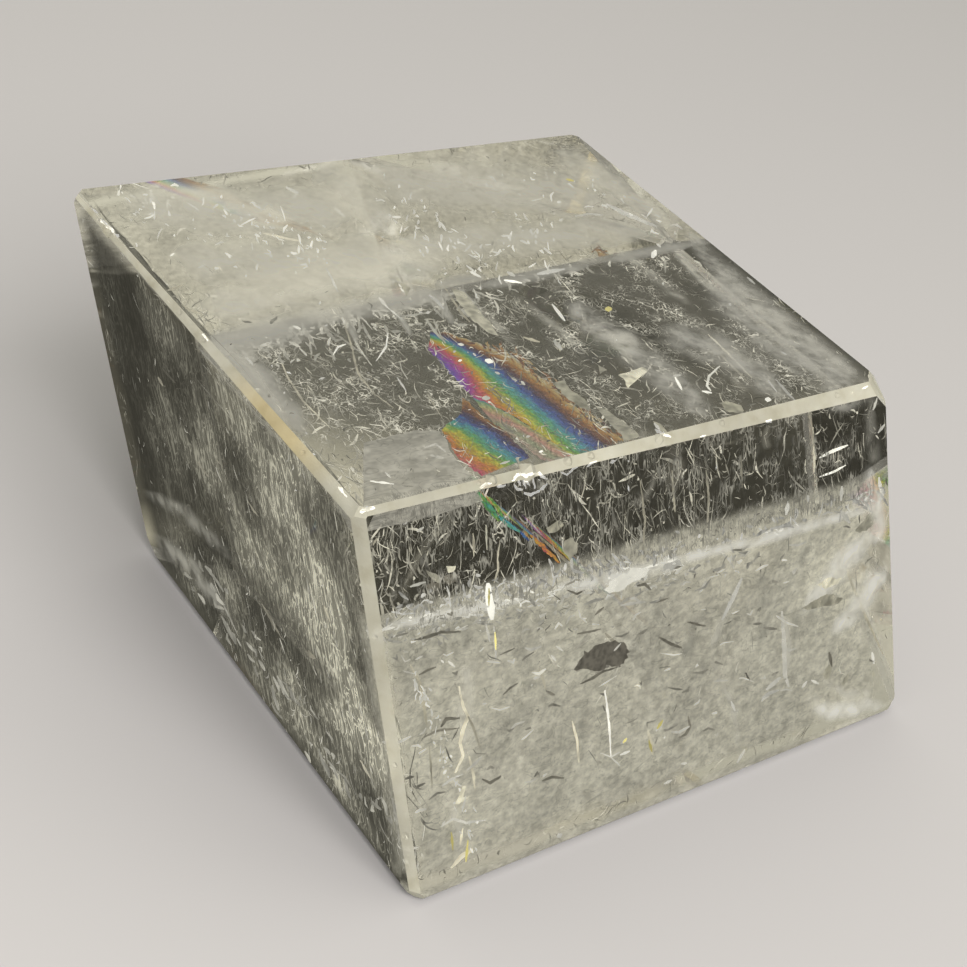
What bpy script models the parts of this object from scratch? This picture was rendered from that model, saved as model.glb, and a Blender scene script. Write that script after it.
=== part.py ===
"""A polished block of optical calcite, modelled as one solid.

The block is a cleavage rhomb: six flat faces that lean as calcite's cleavage does, ground a degree or
two out of true by hand. Its edges are bevelled, its corners are cut, and its edges are chipped. It
rests on its bottom face. +X runs along the upper front edge, and +Z is up.
"""

import math
import random
from itertools import combinations

import bmesh
import bpy
from mathutils import Vector
from mathutils.geometry import intersect_plane_plane, intersect_line_plane

MM = 0.001

# The block's size, measured on the sharp corners that the bevels cut away
FRONT_EDGE = 80.0 * MM  # the upper front edge, left to right
SIDE_EDGE = 66.9 * MM  # the upper left edge, front to back
HEIGHT = 43.0 * MM  # from the bottom face to the top face

# Each side face's outward bearing around Z, and how far it leans back to look up, in degrees
SIDE_FACES = {
    "front": (-90.0, 14.2),
    "right": (-10.9, 17.2),
    "back": (90.4, -16.5),
    "left": (170.0, -16.4),
}

# A bevel's width in the first face at the edge's two ends, front or left end first, and how much
# wider it is in the second face
BEVELS = {
    ("top", "left"): (1.15 * MM, 0.43 * MM, 1.04),
    ("top", "front"): (0.42 * MM, 0.97 * MM, 1.40),
    ("left", "front"): (1.10 * MM, 0.82 * MM, 1.11),
}
PLAIN_BEVEL = (0.90 * MM, 0.80 * MM, 1.10)

# How far each corner's cut lies inside the sharp corner
CORNER_CUTS = {
    frozenset(("top", "front", "right")): 1.75 * MM,
    frozenset(("bottom", "front", "right")): 1.90 * MM,
    frozenset(("top", "front", "left")): 1.25 * MM,
}
PLAIN_CORNER_CUT = 1.50 * MM

# The larger chips: the edge, the place along it from 0 to 1, and the length and depth of the bite
CHIPS = (
    (("top", "front"), 0.279, 3.1 * MM, 1.00 * MM),
    (("top", "front"), 0.217, 1.7 * MM, 0.55 * MM),
    (("top", "front"), 0.349, 1.6 * MM, 0.50 * MM),
    (("top", "front"), 0.390, 1.2 * MM, 0.42 * MM),
    (("top", "front"), 0.516, 1.8 * MM, 0.40 * MM),
    (("top", "left"), 0.845, 2.4 * MM, 0.45 * MM),
    (("top", "left"), 0.488, 1.0 * MM, 0.35 * MM),
    (("front", "right"), 0.190, 1.3 * MM, 0.45 * MM),
    (("bottom", "front"), 0.640, 1.8 * MM, 0.50 * MM),
    (("bottom", "right"), 0.420, 2.2 * MM, 0.60 * MM),
    (("bottom", "back"), 0.300, 2.0 * MM, 0.55 * MM),
    (("top", "back"), 0.720, 1.6 * MM, 0.45 * MM),
)
CHIP_FLATNESS = 0.8  # how far a chip reaches across the edge, as a share of its length
NICKS_ON_AN_EDGE = 3
NICK_LENGTH = (0.6 * MM, 1.2 * MM)
NICK_DEPTH = (0.18 * MM, 0.34 * MM)
EDGE_END = 0.06  # the share of an edge, at each end, that small nicks keep clear of
ROUGHNESS_OF_CHIPS = 0.22  # how far a chip's facets stray from a smooth bowl
SEED = 7

# What light does in the crystal
CLEAR_CALCITE = (0.90, 0.89, 0.86, 1.0)
POLISH_ROUGHNESS = 0.04
REFRACTIVE_INDEX = 1.6


def clear_scene():
    for old in list(bpy.data.objects):
        bpy.data.objects.remove(old, do_unlink=True)


def outward(bearing, lean):
    """The unit vector that points along a bearing around Z, raised by the lean."""
    bearing, lean = math.radians(bearing), math.radians(lean)
    level = math.cos(lean)
    return Vector((level * math.cos(bearing), level * math.sin(bearing), math.sin(lean)))


def face_planes():
    """Each face as a point on it and its outward normal, with the sharp front-left-top corner at x = y = 0."""
    normals = {name: outward(*aim) for name, aim in SIDE_FACES.items()}
    near_left = Vector((0.0, 0.0, HEIGHT))
    near_right = near_left + Vector((FRONT_EDGE, 0.0, 0.0))
    up = Vector((0.0, 0.0, 1.0))
    to_the_back = normals["left"].cross(up).normalized()
    if to_the_back.y < 0:
        to_the_back.negate()
    far_left = near_left + to_the_back * SIDE_EDGE
    return {
        "top": (near_left, up),
        "bottom": (Vector((0.0, 0.0, 0.0)), -up),
        "front": (near_left, normals["front"]),
        "left": (near_left, normals["left"]),
        "right": (near_right, normals["right"]),
        "back": (far_left, normals["back"]),
    }


def sharp_corners(planes):
    """The block's eight corners before they are cut, keyed by the three faces that meet there."""
    corners = {}
    for level in ("top", "bottom"):
        for ahead in ("front", "back"):
            for beside in ("left", "right"):
                start, along = intersect_plane_plane(*planes[level], *planes[ahead])
                point = intersect_line_plane(start, start + along, *planes[beside])
                corners[frozenset((level, ahead, beside))] = point
    return corners


def sharp_edges(corners):
    """The twelve edges: two faces, and their two end corners with the front or left one first."""
    edges = []
    for first, second in combinations(corners, 2):
        shared = first & second
        if len(shared) == 2:
            ends = sorted((corners[first], corners[second]), key=lambda point: point.x + 2.0 * point.y)
            if {"top", "bottom"}.isdisjoint(shared):
                ends.sort(key=lambda point: -point.z)
            edges.append((shared, ends))
    return edges


def ordered(shared):
    """An edge's two faces in the order that the bevel table lists them."""
    for pair in BEVELS:
        if shared == set(pair):
            return pair
    return tuple(sorted(shared))


def across_face(normal, other_normal, along):
    """The direction in a face that leads straight away from an edge it shares with another face."""
    inward = normal.cross(along).normalized()
    return -inward if inward.dot(other_normal) > 0 else inward


def bevel_plane(planes, shared, ends):
    """The flat that replaces a sharp edge, as a point and an outward normal."""
    pair = ordered(shared)
    first, second = (planes[name][1] for name in pair)
    start, end = ends
    at_start, at_end, wider = BEVELS.get(pair, PLAIN_BEVEL)
    along = (end - start).normalized()
    in_first = across_face(first, second, along)
    in_second = across_face(second, first, along)
    corner_a = start + in_first * at_start
    corner_b = end + in_first * at_end
    corner_c = start + in_second * at_start * wider
    normal = (corner_b - corner_a).cross(corner_c - corner_a).normalized()
    if normal.dot(first + second) < 0:
        normal.negate()
    return corner_a, normal


def slice_off(mesh, point, normal):
    """Cuts away what lies outside a plane, and closes the cut with one flat face."""
    everything = mesh.verts[:] + mesh.edges[:] + mesh.faces[:]
    cut = bmesh.ops.bisect_plane(
        mesh, geom=everything, plane_co=point, plane_no=normal, dist=1e-7, clear_outer=True
    )
    rim = [part for part in cut["geom_cut"] if isinstance(part, bmesh.types.BMEdge)]
    bmesh.ops.contextual_create(mesh, geom=rim)


def ground_rhomb(planes, corners, edges):
    """The whole block before it was chipped: six faces, twelve bevels and eight cut corners."""
    mesh = bmesh.new()
    bmesh.ops.create_cube(mesh, size=6.0 * FRONT_EDGE)
    for point, normal in planes.values():
        slice_off(mesh, point, normal)
    for shared, ends in edges:
        slice_off(mesh, *bevel_plane(planes, shared, ends))
    for faces, corner in corners.items():
        normal = sum((planes[name][1] for name in faces), Vector()).normalized()
        depth = CORNER_CUTS.get(faces, PLAIN_CORNER_CUT)
        slice_off(mesh, corner - normal * depth, normal)
    bmesh.ops.recalc_face_normals(mesh, faces=mesh.faces)
    return mesh


def chip(mesh, planes, edges, faces, place, length, depth, rng):
    """Adds one rough, bowl-shaped cutter that bites into an edge from outside."""
    shared, (start, end) = next(edge for edge in edges if edge[0] == set(faces))
    point, normal = bevel_plane(planes, shared, (start, end))
    along = (end - start).normalized()
    on_edge = start.lerp(end, place)
    on_bevel = on_edge - normal * (on_edge - point).dot(normal)
    across = normal.cross(along)
    bowl = bmesh.ops.create_icosphere(mesh, subdivisions=1, radius=1.0)["verts"]
    for vert in bowl:
        reach = vert.co * (1.0 + rng.uniform(-ROUGHNESS_OF_CHIPS, ROUGHNESS_OF_CHIPS))
        vert.co = (
            on_bevel
            + along * reach.x * length / 2
            + across * reach.y * length * CHIP_FLATNESS / 2
            + normal * reach.z * depth
        )


def chip_cutter(planes, edges):
    """All the chips and nicks in one cutter."""
    rng = random.Random(SEED)
    mesh = bmesh.new()
    for faces, place, length, depth in CHIPS:
        chip(mesh, planes, edges, faces, place, length, depth, rng)
    for shared, _ in edges:
        for nick in range(NICKS_ON_AN_EDGE):
            share = (nick + rng.random()) / NICKS_ON_AN_EDGE
            place = EDGE_END + (1.0 - 2.0 * EDGE_END) * share
            chip(mesh, planes, edges, shared, place, rng.uniform(*NICK_LENGTH), rng.uniform(*NICK_DEPTH), rng)
    return mesh


def clear_calcite():
    material = bpy.data.materials.new("clear_calcite")
    material.use_nodes = True
    shader = material.node_tree.nodes["Principled BSDF"]
    shader.inputs["Base Color"].default_value = CLEAR_CALCITE
    shader.inputs["Roughness"].default_value = POLISH_ROUGHNESS
    shader.inputs["Metallic"].default_value = 0.0
    shader.inputs["IOR"].default_value = REFRACTIVE_INDEX
    shader.inputs["Transmission Weight"].default_value = 1.0
    return material


def new_object(name, mesh, offset):
    """Makes an object from a bmesh, shifted so that the block's base is centred on the origin."""
    bmesh.ops.translate(mesh, verts=mesh.verts, vec=-offset)
    data = bpy.data.meshes.new(name)
    mesh.to_mesh(data)
    mesh.free()
    placed = bpy.data.objects.new(name, data)
    bpy.context.collection.objects.link(placed)
    return placed


def main():
    clear_scene()
    planes = face_planes()
    corners = sharp_corners(planes)
    edges = sharp_edges(corners)

    rhomb = ground_rhomb(planes, corners, edges)
    low = Vector(min(vert.co[axis] for vert in rhomb.verts) for axis in range(3))
    high = Vector(max(vert.co[axis] for vert in rhomb.verts) for axis in range(3))
    base_centre = Vector(((low.x + high.x) / 2, (low.y + high.y) / 2, low.z))
    block = new_object("calcite_block", rhomb, base_centre)
    block.data.materials.append(clear_calcite())

    cutter = new_object("chip_cutter", chip_cutter(planes, edges), base_centre)
    cutter.hide_render = True
    cutter.display_type = "WIRE"
    chipping = block.modifiers.new("chipping", "BOOLEAN")
    chipping.operation = "DIFFERENCE"
    chipping.solver = "EXACT"
    chipping.use_self = True
    chipping.object = cutter


main()
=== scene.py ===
"""The looks of a polished block of optical calcite: clear faces, ground bevels, and what lies inside.

The crystal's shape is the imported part's own. Inside it lie hair-like cracks, flakes, pale haze and one
cleavage crack whose thin film of air shows rainbow colours. All of them are meshes.
"""

import math

import bmesh
import bpy
import numpy as np
from mathutils import Matrix, Vector
from mathutils.bvhtree import BVHTree
from mathutils.geometry import intersect_line_plane, tessellate_polygon


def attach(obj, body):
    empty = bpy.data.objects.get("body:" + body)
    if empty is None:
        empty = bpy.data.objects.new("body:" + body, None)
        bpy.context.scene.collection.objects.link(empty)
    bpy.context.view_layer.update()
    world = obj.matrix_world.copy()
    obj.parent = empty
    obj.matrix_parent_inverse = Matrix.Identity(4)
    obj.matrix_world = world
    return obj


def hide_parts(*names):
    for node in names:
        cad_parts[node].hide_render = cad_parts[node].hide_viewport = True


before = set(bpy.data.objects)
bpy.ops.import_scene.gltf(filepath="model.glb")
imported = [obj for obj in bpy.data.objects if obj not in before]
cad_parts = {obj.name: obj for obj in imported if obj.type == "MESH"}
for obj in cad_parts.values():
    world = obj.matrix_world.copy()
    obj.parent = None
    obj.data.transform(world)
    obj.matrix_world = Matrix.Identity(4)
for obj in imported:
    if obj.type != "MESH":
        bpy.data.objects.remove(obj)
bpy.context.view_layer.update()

MM = 0.001
BLOCK = "calcite_block"
HEIGHT = 43.0 * MM

# Each side face's outward bearing around Z, and how far it leans back to look up, in degrees
SIDE_FACES = {
    "front": (-90.0, 14.2),
    "right": (-10.9, 17.2),
    "back": (90.4, -16.5),
    "left": (170.0, -16.4),
}
REFRACTIVE_INDEX = 1.6

# The photograph's view: from where, seen from the upper front left corner, and which way
FRAME_PIXELS = 967
SENSOR_WIDTH = 36.0
LENS = 82.37
CAMERA_FROM_CORNER = Vector((-123.54, -119.22, 101.02)) * MM
LOOK_BEARING = 49.51  # degrees from +Y towards +X
LOOK_DOWN = 28.87
CAMERA_ROLL = -15.65
NEAREST_SEEN, FARTHEST_SEEN = 0.01, 20.0


def outward(bearing, lean):
    """The unit vector that points along a bearing around Z, raised by the lean."""
    bearing, lean = math.radians(bearing), math.radians(lean)
    level = math.cos(lean)
    return Vector((level * math.cos(bearing), level * math.sin(bearing), math.sin(lean)))


# The six polished faces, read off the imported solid: each one's normal and how far out it lies
NORMALS = {name: outward(*aim) for name, aim in SIDE_FACES.items()}
NORMALS["top"] = Vector((0.0, 0.0, 1.0))
NORMALS["bottom"] = Vector((0.0, 0.0, -1.0))
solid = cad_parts[BLOCK].data
REACH = {name: max(normal.dot(vert.co) for vert in solid.vertices) for name, normal in NORMALS.items()}
NORMAL_ROWS = np.array([NORMALS[name] for name in REACH])
REACH_ROW = np.array([REACH[name] for name in REACH])


def corner(*faces):
    """The sharp corner where three faces would meet."""
    rows = Matrix([NORMALS[face] for face in faces])
    return rows.inverted() @ Vector([REACH[face] for face in faces])


CORNERS = np.array(
    [
        [[corner(level, ahead, beside) for level in ("bottom", "top")] for ahead in ("front", "back")]
        for beside in ("left", "right")
    ]
)
NEAR_CORNER = corner("top", "front", "left")
SLANT = Vector(CORNERS[0, 0, 0] - CORNERS[0, 0, 1]).normalized()  # down the block's slanting edges


def at(share):
    """Points in the block from an array of shares (right, back, up), each 0 to 1."""
    point = np.zeros(share.shape)
    for which in np.ndindex(2, 2, 2):
        weight = np.where(which, share, 1 - share).prod(axis=-1)
        point += weight[..., None] * CORNERS[which]
    return point


def depth_inside(points):
    """How far each point lies inside the nearest face. Below 0 is outside."""
    return (REACH_ROW - points @ NORMAL_ROWS.T).min(axis=-1)


def kept_inside(points, margin):
    """Pushes any point that lies too near a face, or outside it, back in."""
    points = np.array(points, float)
    for normal, reach in zip(NORMAL_ROWS, REACH_ROW):
        over = points @ normal - (reach - margin)
        points -= np.maximum(over, 0)[:, None] * normal
    return points


# Camera
def view_axes():
    """The camera's right, up and forward vectors."""
    forward = outward(90.0 - LOOK_BEARING, -LOOK_DOWN)
    level_right = forward.cross(Vector((0.0, 0.0, 1.0))).normalized()
    right = Matrix.Rotation(math.radians(CAMERA_ROLL), 3, forward) @ level_right
    return right, right.cross(forward), forward


RIGHT, UP, FORWARD = view_axes()
SKIN = BVHTree.FromPolygons([vert.co for vert in solid.vertices], [face.vertices for face in solid.polygons])
EYE = NEAR_CORNER + CAMERA_FROM_CORNER
FOCAL_PIXELS = LENS / SENSOR_WIDTH * FRAME_PIXELS


def add_object(name, data):
    made = bpy.data.objects.new(name, data)
    bpy.context.collection.objects.link(made)
    return made


def make_camera():
    data = bpy.data.cameras.new("photograph_view")
    data.sensor_width = SENSOR_WIDTH
    data.lens = LENS
    data.clip_start, data.clip_end = NEAREST_SEEN, FARTHEST_SEEN
    camera = add_object("photograph_view", data)
    camera.matrix_world = Matrix((RIGHT, UP, -FORWARD)).transposed().to_4x4()
    camera.matrix_world.translation = EYE
    bpy.context.scene.camera = camera


def sight_line(pixel):
    """The direction in which the eye sees a pixel of the photograph."""
    across, down = (place - FRAME_PIXELS / 2 for place in pixel)
    return (FORWARD * FOCAL_PIXELS + RIGHT * across - UP * down).normalized()


def bent_ray(pixel, face):
    """Where the sight line through a pixel meets a face, and its course inside the crystal."""
    sight, normal = sight_line(pixel), NORMALS[face]
    entry = intersect_line_plane(EYE, EYE + sight, normal * REACH[face], normal)
    slowed = 1.0 / REFRACTIVE_INDEX
    cosine = -sight.dot(normal)
    turned = slowed * cosine - math.sqrt(1.0 - slowed**2 * (1.0 - cosine**2))
    return entry, sight * slowed + normal * turned


def seen(pixel, face, depth):
    """The place inside the crystal that a pixel shows through a face, this far under the face."""
    entry, inside = bent_ray(pixel, face)
    return entry + inside * (depth / -inside.dot(NORMALS[face]))


def seen_on(pixel, face, point, normal):
    """The place on a plane inside the crystal that a pixel shows through a face."""
    entry, inside = bent_ray(pixel, face)
    return intersect_line_plane(entry, entry + inside, point, normal)


def on_the_skin(pixel):
    """The place where the sight line through a pixel first meets the block itself, if it does."""
    sight = sight_line(pixel)
    place = SKIN.ray_cast(EYE, sight)[0]
    return place - sight * 0.03 * MM if place else None


# Shader nodes
def new_material(name, **values):
    """A Principled material with these values on its sockets. Returns it, its node tree and its shader."""
    material = bpy.data.materials.new(name)
    material.use_nodes = True
    shader = material.node_tree.nodes["Principled BSDF"]
    for socket, value in values.items():
        shader.inputs[socket.replace("_", " ")].default_value = value
    return material, material.node_tree, shader


def feed(made, **inputs):
    """Links or fills a node's inputs, by name or by number."""
    for key, value in inputs.items():
        socket = made.inputs[int(key[1:])] if key[0] == "_" else made.inputs[key.replace("_", " ")]
        if isinstance(value, bpy.types.NodeSocket):
            made.id_data.links.new(value, socket)
        else:
            socket.default_value = value


def node(tree, kind, settings=None, **inputs):
    """Adds a shader node, sets its properties and feeds or fills its inputs."""
    made = tree.nodes.new("ShaderNode" + kind)
    for key, value in (settings or {}).items():
        setattr(made, key, value)
    feed(made, **inputs)
    return made


def ramp(factor, *stops):
    """A colour ramp through stops of (place, colour), where one number stands for a grey."""
    made = node(factor.id_data, "ValToRGB", Fac=factor)
    elements = made.color_ramp.elements
    while len(elements) < len(stops):
        elements.new(0.5)
    for element, (place, colour) in zip(elements, stops):
        element.position = place
        element.color = (*(colour if isinstance(colour, tuple) else (colour,) * 3), 1.0)
    return made.outputs["Color"]


def block_place(tree):
    """The block's own coordinates, in metres."""
    return node(tree, "TexCoord").outputs["Object"]


def noise(tree, scale, detail=4.0, stretch=None, roughness=0.5, distortion=0.0, place=None):
    """Noise in the block's own coordinates, stretched along its axes if asked. Scale is per metre."""
    place = place or block_place(tree)
    if stretch:
        place = node(tree, "Mapping", Vector=place, Scale=stretch).outputs["Vector"]
    how = {"Scale": scale, "Detail": detail, "Roughness": roughness, "Distortion": distortion}
    return node(tree, "TexNoise", Vector=place, **how).outputs["Fac"]


def product(first, *others):
    """One colour times the others."""
    mix = {"data_type": "RGBA", "blend_type": "MULTIPLY"}
    for other in others:
        first = node(first.id_data, "Mix", mix, _0=1.0, _6=first, _7=other).outputs[2]
    return first


def maths(operation, first, second):
    """One number with another, such as their product."""
    return node(first.id_data, "Math", {"operation": operation}, _0=first, _1=second).outputs[0]


def vector_maths(operation, first, second=(0.0, 0.0, 0.0), output="Value"):
    return node(first.id_data, "VectorMath", {"operation": operation}, _0=first, _1=second).outputs[output]


def separate(vector):
    """The outputs X, Y and Z of a vector."""
    return node(vector.id_data, "SeparateXYZ", Vector=vector).outputs


def uv_map(tree):
    return separate(node(tree, "UVMap").outputs["UV"])


def in_range(value, low, high, kind="LINEAR"):
    """A value's place in a range, 0 at its low end to 1 at its high end."""
    shape = {"interpolation_type": kind}
    made = node(value.id_data, "MapRange", shape, Value=value, From_Min=low, From_Max=high)
    return made.outputs["Result"]


def random_per_island(tree):
    """A random number from 0 to 1 for each of a piece's separate parts."""
    return node(tree, "NewGeometry").outputs["Random Per Island"]


def front_only(tree):
    """1 from the front and 0 from behind, where light doesn't glance off a thin crack."""
    behind = node(tree, "NewGeometry").outputs["Backfacing"]
    return node(tree, "Math", {"operation": "SUBTRACT"}, _0=1.0, _1=behind).outputs[0]


def faded(alpha, place, **reaches):
    """An opacity that fades out over these reaches at the sides of a piece's UV map."""
    for axis, reach in reaches.items():
        away = maths("PINGPONG", place[axis], 0.5)
        alpha = maths("MULTIPLY", alpha, in_range(away, 0.0, reach, "SMOOTHSTEP"))
    return alpha


def bumpy(shader, height, strength, distance):
    bump = node(shader.id_data, "Bump", Height=height, Strength=strength, Distance=distance)
    feed(shader, Normal=bump.outputs["Normal"])


def scaled(colour, factor):
    return tuple(channel * factor for channel in colour)


def from_screen(red, green, blue):
    """A linear colour from the 0 to 255 values that a screen shows."""
    shares = np.array((red, green, blue)) / 255.0
    return tuple(np.where(shares > 0.04045, ((shares + 0.055) / 1.055) ** 2.4, shares / 12.92))


# Materials of the block itself
CRYSTAL_TINT = (1.0, 0.995, 0.985, 1.0)
ABSORBED_TINT = (0.92, 0.90, 0.84, 1.0)
ABSORPTION = 7.0  # per metre

# Where the upper left bevel has a painted amber glow, how far the glow spreads, and its tint
AMBER_GLOW = tuple(bent_ray((276, 420), "top")[0])
AMBER_REACH = 11.0 * MM
AMBER = (1.0, 0.85, 0.56)


def polished_calcite():
    material, tree, _ = new_material(
        "polished_calcite",
        Base_Color=CRYSTAL_TINT,
        Roughness=0.0,
        IOR=REFRACTIVE_INDEX,
        Transmission_Weight=1.0,
    )
    absorption = node(tree, "VolumeAbsorption", Color=ABSORBED_TINT, Density=ABSORPTION)
    feed(tree.nodes["Material Output"], Volume=absorption.outputs["Volume"])
    return material


def ground_calcite():
    """The finely ground bevels, with a faint painted glow. One stretch of the upper left bevel has a painted
    amber glow.
    """
    material, tree, shader = new_material(
        "ground_bevels", IOR=REFRACTIVE_INDEX, Transmission_Weight=0.6, Emission_Strength=0.12
    )
    creams = ((0.25, (0.70, 0.66, 0.54)), (0.45, (0.86, 0.83, 0.73)), (0.75, (0.95, 0.93, 0.86)))
    near = in_range(vector_maths("DISTANCE", block_place(tree), AMBER_GLOW), 0.0, AMBER_REACH)
    cream = product(
        ramp(noise(tree, 60.0, 2.0), (0.3, 0.72), (0.7, 1.0)),
        ramp(noise(tree, 420.0, 5.0), *creams),
        ramp(near, (0.30, AMBER), (1.0, 1.0)),
    )
    grain = noise(tree, 4200.0, 3.0)
    rough = ramp(grain, (0.3, 0.42), (0.7, 0.7))
    feed(shader, Base_Color=cream, Emission_Color=cream, Roughness=rough)
    bumpy(shader, grain, 0.35, 0.08 * MM)
    return material


def worn_calcite():
    """The bevels away from the front corner, ground but nearly clear, with a faint painted glow along them.
    """
    material, tree, shader = new_material(
        "worn_bevels",
        Base_Color=(0.97, 0.96, 0.92, 1.0),
        IOR=REFRACTIVE_INDEX,
        Transmission_Weight=0.8,
        Emission_Color=(0.92, 0.89, 0.80, 1.0),
        Emission_Strength=0.13,
    )
    feed(shader, Roughness=ramp(noise(tree, 2600.0, 3.0), (0.3, 0.10), (0.7, 0.30)))
    return material


# White crushed calcite in the chips, with a painted glow
def chipped_calcite():
    material, tree, shader = new_material(
        "chipped_calcite",
        IOR=REFRACTIVE_INDEX,
        Transmission_Weight=0.25,
        Emission_Color=(0.95, 0.95, 0.92, 1.0),
        Emission_Strength=0.25,
    )
    crush = noise(tree, 2600.0, 4.0)
    white = ramp(crush, (0.3, (0.62, 0.60, 0.55)), (0.6, (0.98, 0.98, 0.97)))
    feed(shader, Base_Color=white, Roughness=ramp(crush, (0.3, 0.15), (0.7, 0.6)))
    bumpy(shader, crush, 0.6, 0.1 * MM)
    return material


# The chips' crushed white rims, with a painted glow
def crushed_rims():
    material, tree, shader = new_material("crushed_rims", Roughness=0.45, Emission_Strength=0.6)
    white = ramp(noise(tree, 3000.0, 3.0), (0.3, (0.70, 0.68, 0.60)), (0.6, (0.98, 0.97, 0.93)))
    feed(shader, Base_Color=white, Emission_Color=white)
    return material


# Plain cracks, each with a painted glow; the white and yellow glints, the sparkles and the flecks are
# painted glints. For each: the tint, the roughness, the painted glow, how dark the mottles are, how many
# to a metre, how dim the dimmest of a piece's separate cracks is, how metallic they are, and whether they
# can only be seen from the side that their faces look to
CRACKS = {
    "silky_cracks": ((0.98, 0.94, 0.78), 0.5, 0.84, 0.45, 800.0, 0.12, 0.0, False),
    "bright_silk": ((0.98, 0.95, 0.82), 0.5, 0.92, 0.7, 800.0, 0.42, 0.0, False),
    "sparkles": ((0.99, 0.98, 0.92), 0.3, 0.95, 0.8, 700.0, 0.4, 0.0, False),
    "white_glints": ((0.98, 0.97, 0.90), 0.3, 0.95, 0.8, 700.0, 0.35, 1.0, True),
    "pale_streaks": ((0.95, 0.90, 0.74), 0.4, 0.55, 0.6, 700.0, 0.35, 1.0, True),
    "pale_plates": ((0.94, 0.91, 0.76), 0.35, 0.50, 0.5, 900.0, 0.35, 1.0, True),
    "dark_slivers": ((0.60, 0.56, 0.44), 0.4, 0.40, 0.65, 1200.0, 0.6, 0.0, True),
    "dark_and_shadow_patches": ((0.48, 0.44, 0.35), 0.4, 0.32, 0.55, 1500.0, 0.9, 0.0, True),
    "yellow_glints": ((0.98, 0.88, 0.34), 0.3, 0.75, 0.9, 700.0, 0.35, 1.0, True),
    "faint_scales": ((0.80, 0.76, 0.62), 0.4, 0.50, 0.6, 900.0, 0.45, 0.0, True),
    "light_scales": ((0.98, 0.95, 0.82), 0.4, 0.85, 0.7, 900.0, 0.6, 0.0, True),
    "border_frost": ((0.97, 0.94, 0.80), 0.4, 0.72, 0.6, 900.0, 0.42, 0.0, True),
    "bright_frost": ((1.0, 0.98, 0.88), 0.4, 0.78, 0.6, 1400.0, 0.4, 0.0, True),
    "back_flecks": ((1.0, 0.98, 0.86), 0.4, 0.98, 0.85, 900.0, 0.60, 0.0, True),
}

# Soft veils, each with a painted glow; the dark bands are painted shade. For each: the tint, the painted
# glow, the opacity of the thickest, the thinnest against it, how much stays between the patches, and how
# fine the patches are
VEILS = {
    "hazy_veils": ((0.92, 0.88, 0.74), 0.42, 0.34, 0.25, 0.15, 1.0),
    "soft_bands": ((0.96, 0.93, 0.80), 0.52, 0.7, 0.25, 0.15, 1.0),
    "dark_bands": ((0.50, 0.49, 0.42), 0.34, 0.55, 0.25, 0.15, 1.0),
    "bright_haze": ((1.0, 0.98, 0.88), 0.74, 0.9, 0.7, 0.4, 1.0),
    "back_haze": ((0.97, 0.93, 0.77), 0.52, 0.95, 0.85, 0.6, 1.0),
    "border_haze": ((0.92, 0.89, 0.77), 0.36, 1.0, 0.9, 0.7, 1.0),
    "right_haze": ((0.94, 0.91, 0.79), 0.46, 0.95, 0.75, 0.34, 3.0),
}


def plain_crack(name, tint, rough, glow, darkest, mottling, spread, metallic, one_sided):
    """An air-filled crack: pale, mottled and a little rough, with a painted glow that stands in for light
    scattered in the block.
    """
    material, tree, shader = new_material(
        name, Metallic=metallic, Specular_IOR_Level=0.5 * metallic, Emission_Strength=glow
    )
    mottle = noise(tree, mottling, 1.5)
    each = ramp(random_per_island(tree), (0.0, spread), (0.55, spread + (1.0 - spread) * 0.3), (1.0, 1.0))
    shade = product(ramp(mottle, (0.3, scaled(tint, darkest)), (0.62, tint)), each)
    uneven = ramp(mottle, (0.3, rough * 1.3), (0.7, rough * 0.7))
    feed(shader, Base_Color=shade, Emission_Color=shade, Roughness=uneven)
    if one_sided:
        feed(shader, Alpha=front_only(tree))
    return material


def haze(name, glow):
    """A rough material without gloss, with a painted glow that stands in for light scattered in the block.
    """
    return new_material(name, Roughness=0.6, Specular_IOR_Level=0.0, Emission_Strength=glow)


def soft_veil(name, tint, glow, thickest, thinnest, patchy, detail):
    """A thin pale veil that fades out towards its sides and ends. Its UV map runs 0 to 1 both ways."""
    material, tree, shader = haze(name, glow)
    patches = ramp(noise(tree, 420.0, detail, roughness=0.6), (0.35, patchy), (0.62, 1.0))
    each = ramp(random_per_island(tree), (0.0, thinnest * thickest), (1.0, thickest))
    alpha = faded(maths("MULTIPLY", patches, each), uv_map(tree), X=0.22, Y=0.5)
    feed(shader, Base_Color=(*tint, 1.0), Emission_Color=(*tint, 1.0), Alpha=alpha)
    return material


def look(name):
    """The plain crack or soft veil of this name, made when it is first asked for."""
    if name in bpy.data.materials:
        return bpy.data.materials[name]
    return plain_crack(name, *CRACKS[name]) if name in CRACKS else soft_veil(name, *VEILS[name])


def along_the_slant(tree, squeeze):
    """The block's own coordinates, squeezed along its slant, so that a texture stretches that way."""
    place = block_place(tree)
    side = SLANT.orthogonal().normalized()
    axes = (side, SLANT.cross(side), SLANT * squeeze)
    parts = [vector_maths("DOT_PRODUCT", place, tuple(axis)) for axis in axes]
    return node(tree, "CombineXYZ", _0=parts[0], _1=parts[1], _2=parts[2]).outputs["Vector"]


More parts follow.
